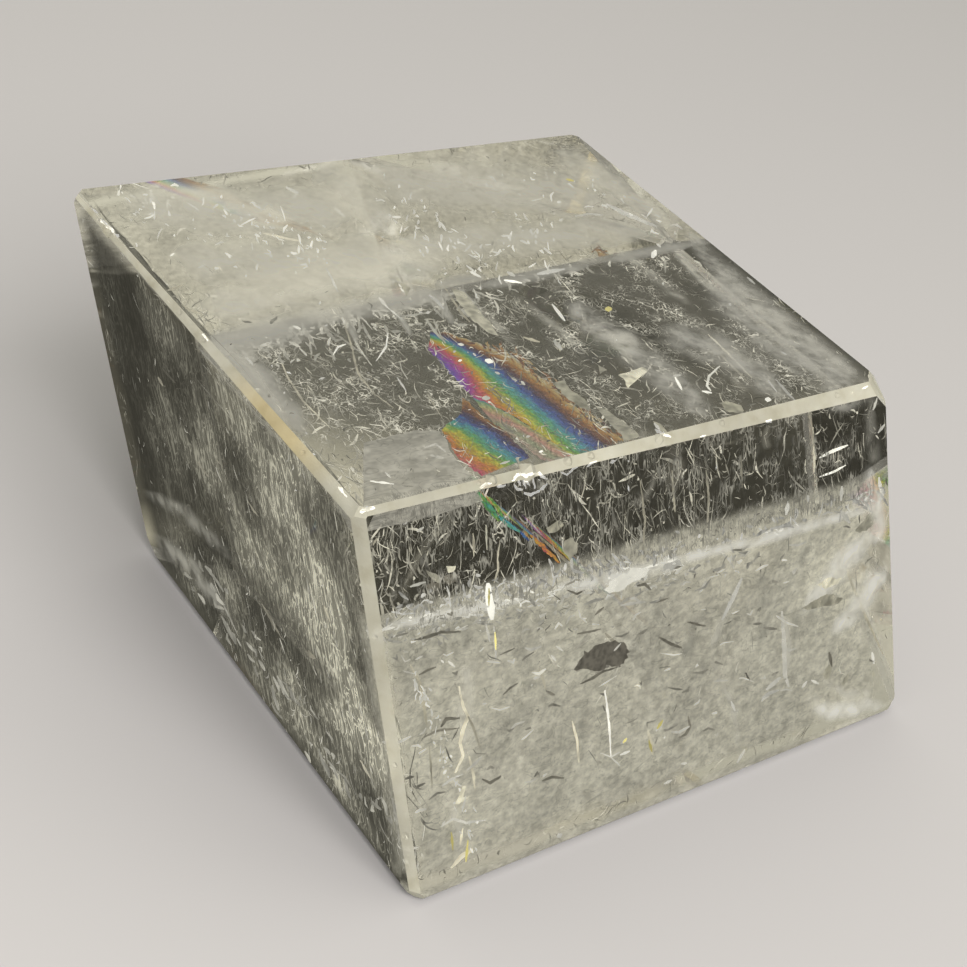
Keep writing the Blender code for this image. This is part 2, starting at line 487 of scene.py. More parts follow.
def threaded(name, tint, glow, squeeze, scales, reach, curl, dimmest, most=1.0, rim=0.4, patch=330.0,
             veil=0.0, high=0.58, far=1.0):
    """A cleavage crack that took air in curled threads, with a faint veil or clear crystal between them.

    A thread runs wherever a noise passes its middle value. The reach is how far to either side of that
    value the thread goes, the dimmest is how dark the darkest patches are, most is the opacity, the rim
    is how bright a thread's sides are, the veil is the opacity between the threads, high is the painted
    shade at the block's top, how bright the crack is there, and far is the painted shade where its UV
    map's U ends, how bright it is there. The whole crack has a painted glow.
    """
    material, tree, shader = haze(name, glow)
    place = along_the_slant(tree, squeeze)
    fields = (noise(tree, scale, 1.0, distortion=curl, place=place) for scale in scales)
    line = ((0.5 - reach, 0.0), (0.5, 1.0), (0.5 + reach, 0.0))
    threads = maths("MAXIMUM", *(ramp(field, *line) for field in fields))
    patches = noise(tree, patch, 1.0)
    thick = ramp(patches, (0.36, 0.14), (0.54, 1.0))
    alpha = maths("MULTIPLY", ramp(threads, (0.10, 0.0), (0.55, most)), thick)
    alpha = maths("MAXIMUM", alpha, veil)
    edge = uv_map(tree)
    middling = scaled(tint, (1 + 2 * dimmest) / 3)
    height = in_range(separate(block_place(tree))["Z"], 0.0, HEIGHT)
    # Painted shade: darker towards the block's top by high, and towards the end of the UV map's U by far
    shade = product(
        ramp(patches, (0.34, scaled(tint, dimmest)), (0.50, middling), (0.64, tint)),
        ramp(threads, (0.1, rim), (0.9, 1.0)),
        ramp(height, (0.0, 1.0), (1.0, high)),
        ramp(edge["X"], (0.10, 1.0), (0.95, far)),
    )
    alpha = faded(alpha, edge, X=0.07, Y=0.07)
    feed(shader, Base_Color=shade, Emission_Color=shade, Alpha=alpha)
    return material


def wrinkled(name, tint, glow, scale, stretch, dimmest, solid, one_sided=False):
    """A cleavage crack full of haze, nearly solid, mottled and faintly wrinkled along one way.

    It fades out towards its edges, or else it has none but can be seen from one side only. Its brightness is
    a painted glow.
    """
    material, tree, shader = haze(name, glow)
    fine = noise(tree, scale, 2.0, stretch, 0.7)
    broad = noise(tree, scale * 0.12, 1.0)
    creases = noise(tree, scale * 0.5, 2.0, (0.5, 1.0, 1.2), 0.6, 0.8)
    middling = scaled(tint, (1 + dimmest) / 2)
    shade = product(
        ramp(fine, (0.34, scaled(tint, dimmest)), (0.52, middling), (0.68, tint)),
        ramp(broad, (0.36, 0.78), (0.64, 1.0)),
        ramp(creases, (0.482, 1.0), (0.495, 0.66), (0.512, 1.0)),
    )
    alpha = ramp(broad, (0.34, solid), (0.66, solid * 0.8))
    if one_sided:
        alpha = maths("MULTIPLY", alpha, front_only(tree))
    else:
        alpha = faded(alpha, uv_map(tree), X=0.05, Y=0.05)
    feed(shader, Base_Color=shade, Emission_Color=shade, Alpha=alpha)
    return material


# The colours of a thin film of air as it grows thicker, as a screen shows them
FILM_COLOURS = (
    (0.00, (205, 200, 188)),
    (0.07, (196, 172, 118)),
    (0.14, (168, 116, 60)),
    (0.21, (98, 52, 52)),
    (0.26, (44, 40, 96)),
    (0.32, (52, 84, 165)),
    (0.39, (70, 158, 168)),
    (0.46, (96, 168, 92)),
    (0.52, (196, 196, 66)),
    (0.60, (212, 138, 54)),
    (0.68, (204, 84, 104)),
    (0.79, (158, 48, 166)),
    (0.92, (108, 76, 184)),
    (1.02, (108, 128, 186)),
    (1.10, (112, 168, 134)),
    (1.20, (178, 172, 116)),
    (1.30, (198, 146, 136)),
    (1.42, (156, 166, 136)),
    (1.56, (190, 158, 150)),
)
THICKEST_FILM = 1.6
# The film's painted glow
FILM_GLOW = 0.64
FILM_RIPPLE = 0.055


def thin_film():
    """A crack filled with a thin film of air, coloured by the film's thickness, which is the UV map's U."""
    material, tree, shader = new_material("thin_film", Metallic=0.5, Emission_Strength=FILM_GLOW)
    waves = noise(tree, 900.0, 5.0, roughness=0.6)
    ripple = node(tree, "MapRange", Value=waves, To_Min=-FILM_RIPPLE, To_Max=FILM_RIPPLE)
    thickness = maths("ADD", uv_map(tree)["X"], ripple.outputs["Result"])
    stops = [(at_film / THICKEST_FILM, from_screen(*shown)) for at_film, shown in FILM_COLOURS]
    grain = noise(tree, 3200.0, 3.0)
    colour = product(
        ramp(thickness, *stops),
        ramp(grain, (0.36, 0.30), (0.62, 1.0)),
    )
    rough = ramp(grain, (0.3, 0.34), (0.7, 0.18))
    feed(shader, Base_Color=colour, Emission_Color=colour, Roughness=rough, Alpha=front_only(tree))
    bumpy(shader, grain, 0.4, 0.1 * MM)
    return material


# Meshes from arrays
def joined_mesh(name, verts, faces, material, uv=None):
    """One piece from arrays of corners and faces, riding on the block. A UV map has a place for each."""
    mesh = bpy.data.meshes.new(name)
    mesh.from_pydata(np.asarray(verts).reshape(-1, 3).tolist(), [], np.asarray(faces).tolist())
    mesh.materials.append(material)
    if uv is not None:
        corners = np.zeros(len(mesh.loops), int)
        mesh.loops.foreach_get("vertex_index", corners)
        mesh.uv_layers.new(name="own").data.foreach_set("uv", np.reshape(uv, (-1, 2))[corners].ravel())
    piece = add_object(name, mesh)
    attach(piece, "root")
    return piece


def grid_faces(rows, columns, count=1):
    """The four-cornered faces of this many grids of vertices, numbered row by row and grid by grid."""
    start = np.arange(count)[:, None, None] * rows * columns
    first = start + np.arange(rows - 1)[:, None] * columns + np.arange(columns - 1)
    return first.reshape(-1, 1) + np.array([[0, 1, columns + 1, columns]])


def unit(vectors):
    return vectors / np.linalg.norm(vectors, axis=-1, keepdims=True)


def wander(rng, starts, heading, spread, curl, lengths, points):
    """Random curling walks about their starting points, with one heading or one for each."""
    count = len(starts)
    direction = unit(heading + rng.normal(0, spread, (count, 3)))
    turn = rng.normal(0, curl, (count, 3))
    step = (lengths / (points - 1))[:, None]
    path = [starts]
    for _ in range(points - 1):
        turn = 0.7 * turn + rng.normal(0, curl * 0.7, (count, 3))
        direction = unit(direction + turn)
        path.append(path[-1] + direction * step)
    strands = np.stack(path, axis=1)
    return strands - (strands.mean(axis=1) - starts)[:, None, :]


def ribbons(name, rng, starts, heading, look_name, length, width, spread, curl, points,
            margin=0.4 * MM, evenness=(4.0, 5.0), tapered=True):
    """Flat curled ribbons about these starts. The evenness is that of their lengths and widths.

    Ribbons that aren't tapered have a UV map: U along each, and V across it.
    """
    lengths = rng.gamma(evenness[0], length / evenness[0], len(starts))
    strands = wander(rng, starts, np.array(heading), spread, curl, lengths, points)
    strands = strands[depth_inside(strands).min(axis=1) > margin]
    along = unit(strands[:, -1] - strands[:, 0])
    sides = unit(np.cross(along, rng.normal(0, 1, along.shape)))
    widths = rng.gamma(evenness[1], width / evenness[1], len(strands))
    taper = np.sin(np.linspace(0.12, 0.96, points) * math.pi)[None, :, None] if tapered else 1.0
    half = sides[:, None, :] * widths[:, None, None] * taper / 2
    verts = np.stack([strands - half, strands + half], axis=2)
    faces = grid_faces(points, 2, len(strands))
    uv = np.stack([np.repeat(np.linspace(0, 1, points), 2), np.tile((0.0, 1.0), points)], axis=1)
    uv = None if tapered else np.tile(uv, (len(strands), 1))
    joined_mesh(name, verts, faces, look(look_name), uv=uv)


def lumpy(points, seed, size):
    """A smooth value from 0 to 1 that varies through space over this size, for uneven density."""
    rng = np.random.default_rng(seed)
    total = np.zeros(len(points))
    for _ in range(9):
        wave = unit(rng.normal(0, 1, 3)) * rng.uniform(0.6, 1.8) * 2 * math.pi / size
        total += np.sin(points @ wave + rng.uniform(0, 2 * math.pi))
    return 1 / (1 + np.exp(-total))


# Columns of the crystal that stay clear, each where a pixel of the photograph looks through a face
CLEAR_COLUMNS = (
    ((318, 338), "top", 2.6 * MM),
    ((612, 288), "top", 4.2 * MM),
    ((650, 300), "top", 3.5 * MM),
    ((480, 368), "top", 3.2 * MM),
    ((540, 408), "top", 3.4 * MM),
    ((600, 435), "top", 2.2 * MM),
    ((470, 440), "top", 3.0 * MM),
    ((610, 655), "front", 2.0 * MM),
)


def clearness(points):
    """How much of the hair stays, 0 to 1: less in the columns that look clear."""
    stays = np.ones(len(points))
    for pixel, face, radius in CLEAR_COLUMNS:
        entry, inside = (np.array(vector) for vector in bent_ray(pixel, face))
        offset = points - entry
        apart = np.linalg.norm(offset - (offset @ inside)[:, None] * inside, axis=1)
        stays *= 1 - 0.92 * np.exp(-((apart / radius) ** 4))
    return stays


def where_hairs_grow(share, place):
    """Thick with hairs in the upper front, thin low down and at the back."""
    right, back, up = share.T
    front = 1 / (1 + np.exp((back - 0.60) * 14))
    upper = 1 / (1 + np.exp((0.42 - up) * 11))
    body = front * (0.008 + upper * (1 - 0.72 * right))
    clumps = (0.08 + 0.92 * lumpy(place, 3, 14 * MM)) * (0.15 + 0.85 * lumpy(place, 4, 4 * MM))
    return body * clumps * clearness(place)


def along_the_left_face(share, place):
    """Close behind the left face, thicker low down."""
    right, back, up = share.T
    clumps = 0.2 + 0.8 * lumpy(place, 6, 6 * MM)
    return np.exp(-((right / 0.016) ** 2)) * (1.1 - up) * (1.1 - back) * clumps


def where_veils_hang(share, place):
    """In the middle and right of the block, nearer the front."""
    right, back, _ = share.T
    clumps = 0.2 + 0.8 * lumpy(place, 5, 18 * MM)
    return (0.35 + 0.65 * right) * (1 - 0.6 * back) * clumps * clearness(place)


LEFT_FACE_SHARE = 0.04  # how far in from the left face the hairs along it are tried


def scattered(rng, count, crowding):
    """Places in the block, thick where crowding(share, place) says so."""
    share = rng.random((count * 5, 3))
    if crowding is along_the_left_face:
        share[:, 0] *= LEFT_FACE_SHARE
    place = at(share)
    keep = rng.random(len(place)) < crowding(share, place)
    return place[keep][:count]


# Fields of ribbons: the seed, how many are tried, where they grow, their heading, and the rest as
# ribbons() takes it
HAIRS = {
    "silk_along_the_slant": (11, 4200, where_hairs_grow, SLANT, dict(
        look_name="silky_cracks", length=2.2 * MM, width=0.15 * MM, spread=0.30, curl=0.16, points=6)),
    "silk_tangle": (12, 6000, where_hairs_grow, (0, 0, 0), dict(
        look_name="silky_cracks", length=1.4 * MM, width=0.17 * MM, spread=1.0, curl=0.55, points=6)),
    "silk_bundles": (13, 150, where_hairs_grow, SLANT, dict(
        look_name="silky_cracks", length=3.0 * MM, width=0.12 * MM, spread=0.10, curl=0.11, points=9,
        evenness=(3.0, 5.0))),
    "left_silk": (17, 2400, along_the_left_face, SLANT, dict(
        look_name="bright_silk", length=1.6 * MM, width=0.15 * MM, spread=0.22, curl=0.20, points=6,
        margin=0.3 * MM)),
    "hazy_veils": (14, 36, where_veils_hang, (0, 0, 0), dict(
        look_name="hazy_veils", length=8.0 * MM, width=2.2 * MM, spread=1.0, curl=0.22, points=10,
        margin=1.6 * MM, evenness=(6.0, 6.0), tapered=False)),
}
STRANDS_IN_A_BUNDLE = 16
BUNDLE_SPREAD = 0.22
BUNDLE_THICKNESS, BUNDLE_LENGTH = 0.42 * MM, 1.6 * MM


def hairs():
    """The hair-like cracks, and the broad ribbons that read as faint swirls of haze."""
    for name, (seed, count, crowding, heading, rest) in HAIRS.items():
        rng = np.random.default_rng(seed)
        starts = scattered(rng, count, crowding)
        if name == "silk_bundles":
            starts, heading = bundled(rng, starts, heading)
        ribbons(name, rng, starts, heading, **rest)


def bundled(rng, middles, heading):
    """Starts and headings of strands that run together in loose bundles about these middles."""
    headings = unit(np.array(heading) + rng.normal(0, BUNDLE_SPREAD, (len(middles), 3)))
    headings = np.repeat(headings, STRANDS_IN_A_BUNDLE, axis=0)
    middles = np.repeat(middles, STRANDS_IN_A_BUNDLE, axis=0)
    away = rng.normal(0, BUNDLE_THICKNESS, middles.shape)
    return middles + (away + headings * rng.normal(0, BUNDLE_LENGTH, (len(middles), 1))), headings


# Sparkles: small shards whose brightness is a painted glint
SPARKLE_SIZE = 0.20 * MM
SPARKLE_CORNERS = ((-1.6, 0.0), (-0.3, 0.8), (1.6, 0.15), (0.2, -0.75))


def sparkles():
    """Small flat shards, each a bent four-cornered flake at a random angle."""
    rng = np.random.default_rng(15)
    place = scattered(rng, 650, where_hairs_grow)
    count = len(place)
    long_way = unit(np.array(SLANT) * 0.8 + rng.normal(0, 0.6, (count, 3)))
    across = unit(np.cross(long_way, rng.normal(0, 1, (count, 3))))
    half = rng.gamma(2.2, SPARKLE_SIZE / 4.4, count)[:, None]
    corners = []
    for a, b in SPARKLE_CORNERS:
        corners.append(place + half * (a * long_way + b * across) * rng.uniform(0.6, 1.3, (count, 1)))
    verts = np.stack(corners, axis=1)
    verts = verts[depth_inside(verts).min(axis=1) > 0.3 * MM]
    joined_mesh("sparkles", verts, np.arange(len(verts) * 4).reshape(-1, 4), look("sparkles"))


# Cracks parallel to a face: which of the three shares a face fixes, whether it lies at that share's far
# end, and how thick the block is that way
SHEET_FACES = {"left": (0, 0, 80.0 * MM), "front": (1, 0, 64.0 * MM), "top": (2, 1, HEIGHT)}
SHEET_COLUMNS, SHEET_ROWS = 90, 70
SHEET_BULGE = 0.8 * MM
TOP_THREADS_DEPTH = 3.0 * MM
SILK_CREAM = (0.98, 0.94, 0.78)


def sheet(name, seed, face, depth, first, second, material):
    """A gently uneven crack this far under a face, over these ranges of the other two shares."""
    fixed, far_end, thickness = SHEET_FACES[face]
    one, two = np.meshgrid(np.linspace(*first, SHEET_COLUMNS), np.linspace(*second, SHEET_ROWS))
    where = abs(far_end - depth / thickness)
    verts = at(np.insert(np.stack([one.ravel(), two.ravel()], axis=1), fixed, where, axis=1))
    normal = np.cross(verts[1] - verts[0], verts[SHEET_COLUMNS] - verts[0])
    verts += (lumpy(verts, seed, 13 * MM)[:, None] - 0.5) * SHEET_BULGE * unit(normal)
    uv = np.stack(np.meshgrid(np.linspace(0, 1, SHEET_COLUMNS), np.linspace(0, 1, SHEET_ROWS)), axis=-1)
    faces = grid_faces(SHEET_ROWS, SHEET_COLUMNS)
    return joined_mesh(name, kept_inside(verts, 0.3 * MM), faces, material, uv=uv)


def inside_outline(points, outline):
    """Which points lie inside a closed outline, both seen from above."""
    inside = np.zeros(len(points), bool)
    for (ax, ay), (bx, by) in zip(outline, np.roll(outline, -1, axis=0)):
        crosses = (ay > points[:, 1]) != (by > points[:, 1])
        level = (points[:, 1] - ay) / ((by - ay) or 1e-12)
        inside ^= crosses & (points[:, 0] < ax + level * (bx - ax))
    return inside


def cut_sheet(piece, pixels, keep_inside):
    """Drops the faces of a piece under the top that lie outside a pixel outline, or inside it."""
    outline = np.array([seen(pixel, "top", TOP_THREADS_DEPTH)[:2] for pixel in pixels])
    centres = np.array([face.center for face in piece.data.polygons])
    unwanted = inside_outline(centres, outline) != keep_inside
    mesh = bmesh.new()
    mesh.from_mesh(piece.data)
    mesh.faces.ensure_lookup_table()
    doomed = [mesh.faces[index] for index in np.nonzero(unwanted)[0]]
    bmesh.ops.delete(mesh, geom=doomed, context="FACES")
    mesh.to_mesh(piece.data)
    mesh.free()


# The dark middle that the top face shows, as pixels of the photograph
DARK_CORE = (
    (226, 356), (296, 330), (390, 308), (480, 292), (600, 265),
    (702, 243), (880, 386), (620, 462), (362, 512),
)


def crack_sheets():
    """Threaded cracks near the top, the front and the left face, and the haze low behind the front."""
    tangle = threaded("tangled_threads", SILK_CREAM, glow=1.40, squeeze=0.55, scales=(430.0, 840.0),
                      reach=0.021, curl=1.5, dimmest=0.10, rim=0.24, patch=260.0)
    top = sheet("top_threads", 91, "top", TOP_THREADS_DEPTH, (0.01, 0.93), (0.02, 0.70), tangle)
    cut_sheet(top, ragged(DARK_CORE, np.random.default_rng(92), 3.0, 7.0), True)
    for lobe, _ in LOBES:
        cut_sheet(top, lobe["upper"] + lobe["lower"][::-1], False)
    streaks = threaded("streaked_threads", SILK_CREAM, glow=0.72, squeeze=0.24, scales=(1150.0, 2000.0),
                       reach=0.038, curl=0.7, dimmest=0.10, most=0.95, far=0.66)
    sheet("front_threads", 95, "front", 1.6 * MM, (0.02, 0.99), (0.66, 0.998), streaks)
    fine = threaded("fine_streaks", (0.98, 0.94, 0.74), glow=1.10, squeeze=0.20, scales=(860.0, 1500.0),
                    reach=0.040, curl=0.9, dimmest=0.20, rim=0.28, patch=100.0, veil=0.84, high=0.70,
                    far=0.09)
    sheet("left_threads", 98, "left", 1.4 * MM, (0.005, 0.985), (0.005, 0.995), fine)
    pale = wrinkled("wrinkled_haze", (0.98, 0.94, 0.76), glow=0.61, scale=1100.0, stretch=(0.7, 1.0, 1.0),
                    dimmest=0.57, solid=0.87)
    sheet("front_haze", 96, "front", 4.4 * MM, (0.00, 0.97), (0.002, 0.72), pale)


# What the photograph shows one by one
def ragged(outline, rng, jag, step=3.0):
    """A closed pixel outline with its sides broken into short steps and pushed about."""
    outline = np.asarray(outline, float)
    broken = []
    for start, end in zip(outline, np.roll(outline, -1, axis=0)):
        count = max(1, int(np.linalg.norm(end - start) / step))
        for share in np.arange(count) / count:
            broken.append(start + (end - start) * share + (rng.normal(0, jag, 2) if share else 0))
    return broken


def part_way(line, stations, last=1.0):
    """The values at some stations along a line of points, which are numbered evenly from 0 to the last."""
    marks = np.linspace(0, last, len(line))
    return np.stack([np.interp(stations, marks, line[:, axis]) for axis in (0, 1)], axis=-1)


def streak(width, *points):
    """The pixel outline of a thin streak along a line of points, pointed at both ends."""
    points = np.array(points, float)
    way = np.gradient(points, axis=0)
    across = unit(np.stack([-way[:, 1], way[:, 0]], axis=1))
    shares = np.linspace(0, 1, len(points) * 2 - 1)
    half = width / 2 * np.sin(math.pi * (0.06 + 0.88 * shares)) ** 0.6
    line, side = part_way(points, shares), part_way(across, shares) * half[:, None]
    return np.concatenate([line + side, (line - side)[::-1]])


def stroke(rng, middle, bearing, spread, size, bend, widths):
    """The pixel outline of one short stroke. Its half length is drawn by the size's shape and scale."""
    heading = math.radians(rng.normal(bearing, spread))
    half = rng.gamma(*size) * np.array((math.cos(heading), math.sin(heading)))
    bent = middle + rng.normal(0, bend, 2) if bend else middle
    return streak(rng.uniform(*widths), middle - half, bent, middle + half)


def triangles(ring, first, normal):
    """A flat outline as triangles numbered from the first vertex on, all turned to the normal if any."""
    faces = []
    for a, b, c in tessellate_polygon([ring]):
        turned = normal is not None and (ring[b] - ring[a]).cross(ring[c] - ring[a]).dot(normal) < 0
        faces.append([first + index for index in ((a, c, b) if turned else (a, b, c))])
    return faces


def flakes(name, rings, material, margin=0.05 * MM, normal=None, film=None):
    """Flat outlines as one piece. A film's thickness at each vertex is kept as the U of the UV map."""
    verts, faces = [], []
    for ring in rings:
        faces.extend(triangles(ring, len(verts), normal))
        verts.extend(ring)
    uv = film_uv(film) if film else None
    return joined_mesh(name, kept_inside(verts, margin), faces, material, uv)


def shards(name, seed, face, outlines, depth, material, tilt, jag):
    """Flakes with these pixel outlines, seen through a face, each about this deep and randomly tilted."""
    rng = np.random.default_rng(seed)
    rings = []
    for outline in outlines:
        outline = ragged(outline, rng, jag)
        point = seen(np.mean(outline, axis=0), face, depth * rng.uniform(0.7, 1.4))
        normal = (NORMALS[face] + Vector(rng.normal(0, tilt, 3))).normalized()
        rings.append([seen_on(pixel, face, point, normal) for pixel in outline])
    flakes(name, rings, material, normal=NORMALS[face])


# Streaks and plates that the photograph shows one by one, as its pixels: a width, then a line of points
TOP_WHITE = (
    (2.2, (326, 268), (333, 281), (338, 292)),
    (3.6, (378, 297), (388, 308)),
    (1.6, (388, 308), (403, 320)),
    (3.4, (429, 295), (437, 301), (444, 309)),
    (2.6, (399, 284), (405, 294)),
    (2.2, (333, 355), (338, 347), (346, 344)),
    (2.0, (376, 361), (386, 347), (388, 333)),
    (2.2, (397, 377), (406, 391)),
    (3.0, (293, 326), (301, 329)),
    (3.0, (419, 313), (423, 313)),
    (3.2, (426, 313), (430, 312)),
    (4.2, (537, 274), (548, 272), (565, 269)),
    (3.4, (552, 304), (559, 313), (565, 321)),
    (5.0, (554, 340), (562, 350)),
    (2.6, (673, 376), (681, 375)),
    (2.8, (675, 377), (682, 390)),
    (2.8, (720, 366), (709, 376), (707, 386), (711, 391)),
    (2.6, (702, 391), (712, 393)),
    (2.2, (768, 380), (777, 392)),
    (2.4, (775, 379), (785, 390), (796, 402)),
    (5.0, (765, 399), (771, 400)),
    (3.4, (654, 423), (660, 430)),
    (4.4, (606, 204), (620, 211), (634, 217), (657, 227)),
    (2.0, (575, 216), (589, 214), (603, 215)),
    (6.0, (652, 258), (656, 250)),
    (3.0, (557, 202), (561, 202)),
    (3.0, (559, 221), (563, 219)),
    (2.4, (531, 230), (534, 229)),
    (4.0, (507, 272), (515, 276)),
    (3.0, (504, 280), (522, 283)),
    (3.0, (729, 303), (731, 306)),
    (2.4, (747, 277), (755, 284)),
    (2.2, (170, 256), (175, 253)),
    (3.4, (242, 350), (247, 357), (253, 365)),
    (2.0, (601, 367), (603, 370)),
    (3.2, (458, 344), (464, 345)),
    (2.2, (473, 353), (476, 356)),
    (5.2, (485, 360), (493, 362)),
    (2.6, (495, 372), (500, 374)),
    (3.0, (511, 377), (517, 381)),
    (3.0, (521, 381), (525, 385)),
    (2.4, (453, 352), (456, 351)),
    (2.4, (458, 361), (462, 360)),
    (2.6, (526, 437), (530, 436)),
    (2.6, (539, 452), (543, 451)),
    (2.4, (500, 464), (510, 461)),
    (5.0, (482, 398), (490, 398)),
    (4.0, (150, 189), (155, 208)),
    (4.4, (286, 187), (297, 193), (293, 199)),
    (3.2, (334, 207), (345, 217)),
    (2.6, (370, 481), (394, 484)),
    (2.2, (385, 472), (391, 478)),
    (2.4, (424, 448), (436, 444), (446, 452)),
    (3.0, (430, 455), (444, 458)),
)
TOP_PALE = (
    (2.0, (340, 311), (350, 341), (358, 373), (373, 393), (394, 408)),
    (1.8, (280, 358), (287, 376), (303, 401), (331, 429)),
    (1.5, (426, 393), (434, 405), (442, 418)),
    (1.8, (215, 262), (223, 272)),
    (2.4, (166, 291), (175, 288), (183, 285)),
    (2.4, (181, 304), (189, 310), (204, 314)),
    (2.0, (545, 233), (556, 247), (567, 261)),
    (1.8, (703, 337), (724, 358), (749, 383)),
    (1.8, (708, 334), (729, 354), (752, 378)),
    (2.2, (263, 233), (280, 237), (301, 241)),
    (2.4, (271, 228), (285, 230)),
    (3.0, (523, 337), (540, 342)),
    (2.4, (445, 288), (462, 314), (470, 322)),
    (2.4, (566, 183), (583, 185)),
    (3.0, (300, 207), (305, 219)),
    (2.6, (141, 187), (148, 196), (152, 208)),
)
FRONT_WHITE = (
    (3.0, (878, 433), (885, 424)),
    (2.6, (873, 410), (877, 398)),
    (2.4, (819, 477), (833, 472), (846, 465)),
    (3.4, (819, 458), (833, 451), (848, 445)),
    (5.0, (788, 503), (786, 515)),
    (3.2, (808, 495), (808, 502)),
    (4.0, (842, 486), (841, 501)),
    (3.4, (832, 495), (831, 507)),
    (4.0, (879, 477), (881, 493)),
    (6.0, (841, 511), (850, 523)),
    (4.6, (782, 611), (784, 640), (785, 676), (789, 687)),
    (4.4, (766, 690), (773, 684), (781, 677)),
    (3.6, (762, 698), (770, 693), (779, 690)),
    (3.0, (802, 688), (807, 681)),
    (3.2, (811, 680), (819, 684)),
    (2.6, (605, 690), (609, 723), (611, 757)),
    (1.8, (600, 753), (611, 757), (620, 752)),
    (1.8, (611, 757), (620, 766)),
    (3.0, (731, 701), (735, 711)),
    (3.0, (681, 764), (687, 763)),
    (3.0, (664, 784), (672, 780)),
    (3.2, (737, 763), (745, 749)),
    (5.0, (557, 837), (562, 834)),
    (8.0, (488, 583), (489, 597), (491, 610), (492, 620)),
    (4.0, (497, 587), (497, 602)),
    (3.0, (486, 624), (490, 642)),
    (2.6, (494, 626), (496, 660)),
    (3.6, (571, 556), (572, 566), (575, 574)),
    (2.6, (578, 556), (578, 565)),
    (3.0, (417, 532), (424, 527)),
    (3.2, (410, 587), (426, 582)),
    (4.2, (742, 578), (733, 598), (722, 620)),
    (4.6, (656, 731), (664, 720)),
    (3.6, (621, 744), (628, 737)),
    (3.0, (620, 755), (630, 751)),
    (2.6, (664, 737), (665, 738)),
    (3.0, (872, 652), (874, 664)),
    (2.8, (442, 786), (452, 779), (463, 774)),
    (3.0, (441, 827), (453, 819), (466, 823), (486, 820)),
    (2.4, (442, 826), (445, 821)),
    (3.0, (551, 655), (556, 661)),
    (2.4, (556, 646), (563, 651)),
    (3.0, (448, 661), (455, 667)),
    (2.4, (441, 660), (444, 663)),
)
FRONT_PALE = (
    (3.6, (459, 686), (463, 706), (468, 716), (463, 730), (460, 743), (463, 756), (455, 773)),
    (2.6, (468, 716), (474, 729), (480, 748)),
    (2.6, (469, 756), (473, 773), (475, 789)),
    (3.0, (410, 664), (420, 683), (425, 713), (427, 726)),
    (2.0, (429, 746), (431, 768), (432, 788)),
    (2.6, (539, 668), (543, 679), (546, 690)),
    (2.6, (572, 721), (577, 740), (579, 763)),
    (3.0, (842, 555), (852, 584), (866, 618), (883, 654)),
    (2.6, (813, 427), (814, 455), (815, 482)),
    (3.0, (460, 845), (463, 828)),
    (5.0, (451, 868), (462, 856), (473, 849)),
    (4.6, (648, 730), (651, 744), (653, 755)),
    (2.4, (473, 533), (474, 556)),
    (2.4, (486, 525), (487, 550)),
    (2.2, (500, 540), (498, 555), (498, 571), (494, 583)),
    (2.4, (373, 545), (377, 538)),
    (1.6, (592, 586), (604, 601)),
    (3.4, (605, 633), (613, 641), (620, 652)),
    (2.6, (706, 470), (709, 500), (707, 528)),
    (2.4, (741, 455), (742, 488)),
    (2.2, (640, 480), (645, 520), (642, 560)),
    (2.2, (672, 470), (675, 512)),
)
FRONT_DARK = (
    (3.4, (414, 640), (428, 637), (441, 632), (461, 632)),
    (2.4, (419, 675), (428, 670), (436, 667)),
    (2.6, (423, 738), (436, 731), (460, 728)),
    (4.0, (441, 727), (446, 719), (460, 718)),
    (2.0, (503, 695), (510, 688), (518, 683)),
    (3.4, (482, 779), (490, 783), (501, 776)),
    (3.0, (542, 781), (552, 777), (564, 778)),
    (3.4, (548, 693), (555, 695)),
    (2.8, (580, 684), (591, 679), (602, 672), (621, 666)),
    (3.0, (688, 716), (690, 726), (686, 734), (679, 738)),
    (3.0, (687, 622), (706, 626)),
    (3.4, (659, 637), (671, 644), (682, 648)),
    (3.6, (637, 586), (645, 584), (651, 590)),
    (2.6, (595, 615), (604, 607)),
    (2.6, (577, 634), (589, 632), (601, 629)),
    (3.4, (829, 652), (832, 667)),
    (2.4, (567, 590), (577, 594), (585, 590)),
    (2.0, (500, 655), (515, 648)),
    (2.4, (655, 603), (668, 598)),
)
LEFT_WHITE = (
    (2.6, (164, 350), (167, 363)),
    (2.0, (162, 368), (168, 375), (175, 383)),
    (2.6, (158, 377), (163, 386)),
    (2.6, (225, 417), (232, 431)),
    (2.4, (189, 453), (198, 463), (209, 477)),
    (2.6, (250, 449), (256, 459)),
    (1.8, (215, 459), (232, 474), (248, 489), (257, 512)),
    (2.2, (190, 419), (198, 432)),
    (2.6, (299, 508), (305, 516), (310, 525)),
    (3.0, (104, 287), (107, 287)),
    (2.0, (143, 280), (150, 310), (156, 340)),
    (2.2, (247, 500), (262, 524), (272, 545)),
    (2.2, (300, 640), (312, 660)),
    (2.6, (336, 690), (345, 706)),
    (2.4, (360, 760), (370, 778)),
    (2.2, (280, 560), (290, 582)),
    (2.0, (322, 600), (330, 622)),
    (2.2, (260, 600), (272, 622), (283, 640)),
)
TOP_PLATES = (
    ((451, 287), (464, 292), (479, 310), (492, 325), (499, 336), (489, 333), (472, 320), (459, 303)),
    ((618, 375), (642, 367), (648, 371), (638, 379), (628, 388), (624, 379)),
    ((720, 403), (726, 401), (741, 405), (744, 411), (737, 413), (726, 411)),
    ((553, 384), (563, 380), (571, 390), (585, 399), (590, 410), (580, 408), (566, 397)),
    ((596, 407), (606, 409), (626, 424), (640, 435), (626, 439), (610, 424)),
    ((653, 421), (661, 424), (671, 437), (665, 438)),
    ((598, 365), (607, 370), (600, 374)),
    ((556, 342), (565, 347), (560, 352)),
    ((400, 283), (411, 288), (406, 297)),
)
